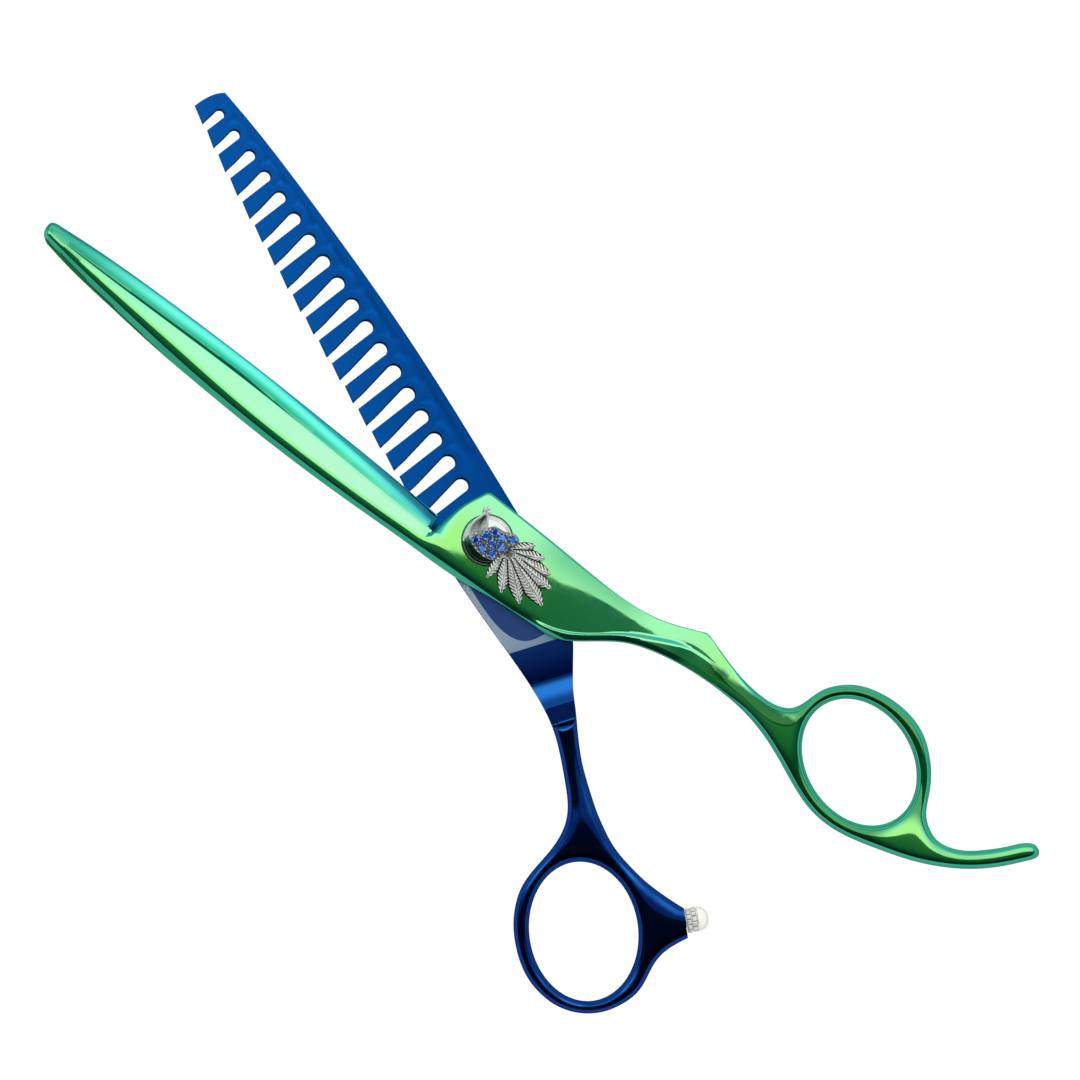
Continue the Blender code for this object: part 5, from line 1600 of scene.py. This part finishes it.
def finish_solid(obj, finish):
    mesh = obj.data
    if "loc" not in mesh.attributes:
        places = np.empty(len(mesh.vertices) * 3, np.float32)
        mesh.vertices.foreach_get("co", places)
        write_attribute(mesh, "loc", places * 1000, "FLOAT_VECTOR")
    if not obj.material_slots:
        mesh.materials.append(finish)
    for slot in obj.material_slots:
        slot.material = finish


for node, finish in (("pivot_bush", NYLON), ("pivot_nut", TURNED), ("glide_washer", BRONZE),
                     ("tension_washer", TURNED), ("bumper_stud", TURNED)):
    finish_solid(frame["nodes"][node], finish)


# ---- studio, in metres -------------------------------------------------------------------------
def floor():
    """A paper floor that glows, a little brighter to the camera than to the pieces."""
    half, z = 2, -0.0004
    mesh = bpy.data.meshes.new("studio_floor")
    corners = [(-half, -half, z), (half, -half, z), (half, half, z), (-half, half, z)]
    mesh.from_pydata(corners, [], [(0, 1, 2, 3)])
    obj = link_object("studio_floor", mesh)
    g = Graph(bpy.data.materials.new("studio_paper"))
    g.nodes.clear()
    spot = g.node("ShaderNodeTexCoord", out=("Object",))
    seen = g.node("ShaderNodeLightPath", out=("Is Camera Ray",))
    fibre = g.noise(spot, scale=900.0).span(over=(0.3, 0.7))
    paper = g.node("ShaderNodeEmission", {
        "Color": g.mix(fibre, (0.985, 0.985, 0.985), (1.0, 1.0, 1.0)),
        "Strength": 0.80 + seen * 0.25})
    g.node("ShaderNodeOutputMaterial", {"Surface": paper}, out=())
    mesh.materials.append(g.owner)


def room():
    """Mirrored rays see a bright upper side and a dark green lower one; others see plain white."""
    low_light, plain_light = (0.72, 0.76, 0.75), (0.95, 0.96, 0.97)
    mirror_strength, plain_strength = 1.0, 0.85
    world = bpy.data.worlds.new("studio")
    SCENE.world = world
    g = Graph(world)
    g.nodes.clear()
    ray = g.vector("NORMALIZE", g.node("ShaderNodeTexCoord", out=("Generated",)))
    up, right, height = (g.vector("DOT_PRODUCT", ray, axis)
                         for axis in (PICTURE_UP, PICTURE_RIGHT, (0, 0, 1)))
    # the bright side fades far up and far out sideways
    far = (up.span(over=(0.55, 0.80), to=(1.0, 0.45))
           * abs(right).span(over=(0.42, 0.70), to=(1.0, 0.35)))
    bright = g.mix(1.0, (1.0, 1.0, 1.0), far, blend="MULTIPLY")
    dark = up.span(over=(-0.60, 0.06), smooth=False).ramp(
        (0.0, 0.004, 0.02, 0.015), (0.25, 0.004, 0.022, 0.018), (0.52, 0.012, 0.075, 0.055),
        (0.78, 0.024, 0.125, 0.09), (0.95, 0.035, 0.155, 0.115), (1.0, 0.06, 0.20, 0.165))
    color = g.mix(up.span(over=(0.0565, 0.0615)), dark, bright)
    color = g.mix(height.span(over=(0.40, 0.68), to=(1.0, 0.0)), color, low_light)
    world.cycles.sampling_method = "NONE"  # each kind of ray sees its own part of the studio
    glossy = g.node("ShaderNodeLightPath", out=("Is Glossy Ray",))
    sky = g.node("ShaderNodeBackground", {
        "Color": g.mix(glossy, plain_light, color),
        "Strength": glossy * mirror_strength + (1.0 - glossy) * plain_strength})
    g.node("ShaderNodeOutputWorld", {"Surface": sky}, out=())


def lamp(name, at, size, power):
    """A round lamp aimed at the pivot and unseen in reflections."""
    data = bpy.data.lights.new(name, "AREA")
    data.shape, data.size, data.energy = "DISK", size, power
    obj = link_object(name, data)
    obj.location = at
    obj.rotation_euler = (-Vector(at)).to_track_quat("-Z", "Y").to_euler()
    obj.visible_glossy = False


def camera():
    """A camera looking straight down."""
    data = bpy.data.cameras.new("camera")
    data.type = "ORTHO"
    data.ortho_scale = 0.1944
    data.clip_start, data.clip_end = 0.01, 10
    obj = link_object("camera", data)
    axes = (PICTURE_RIGHT, PICTURE_UP, (0, 0, 1), (-0.007689, -0.005494, 1.0))
    obj.matrix_world = Matrix((*zip(*axes), (0, 0, 0, 1)))
    SCENE.camera = obj


floor()
room()
lamp("key_softbox", at=(0.25, -0.45, 0.6), size=0.5, power=1.6)
lamp("fill_softbox", at=(-0.4, 0.3, 0.7), size=0.6, power=0.6)
camera()
SCENE.view_settings.view_transform = "Standard"
SCENE.view_settings.look = "None"

bpy.context.view_layer.update()
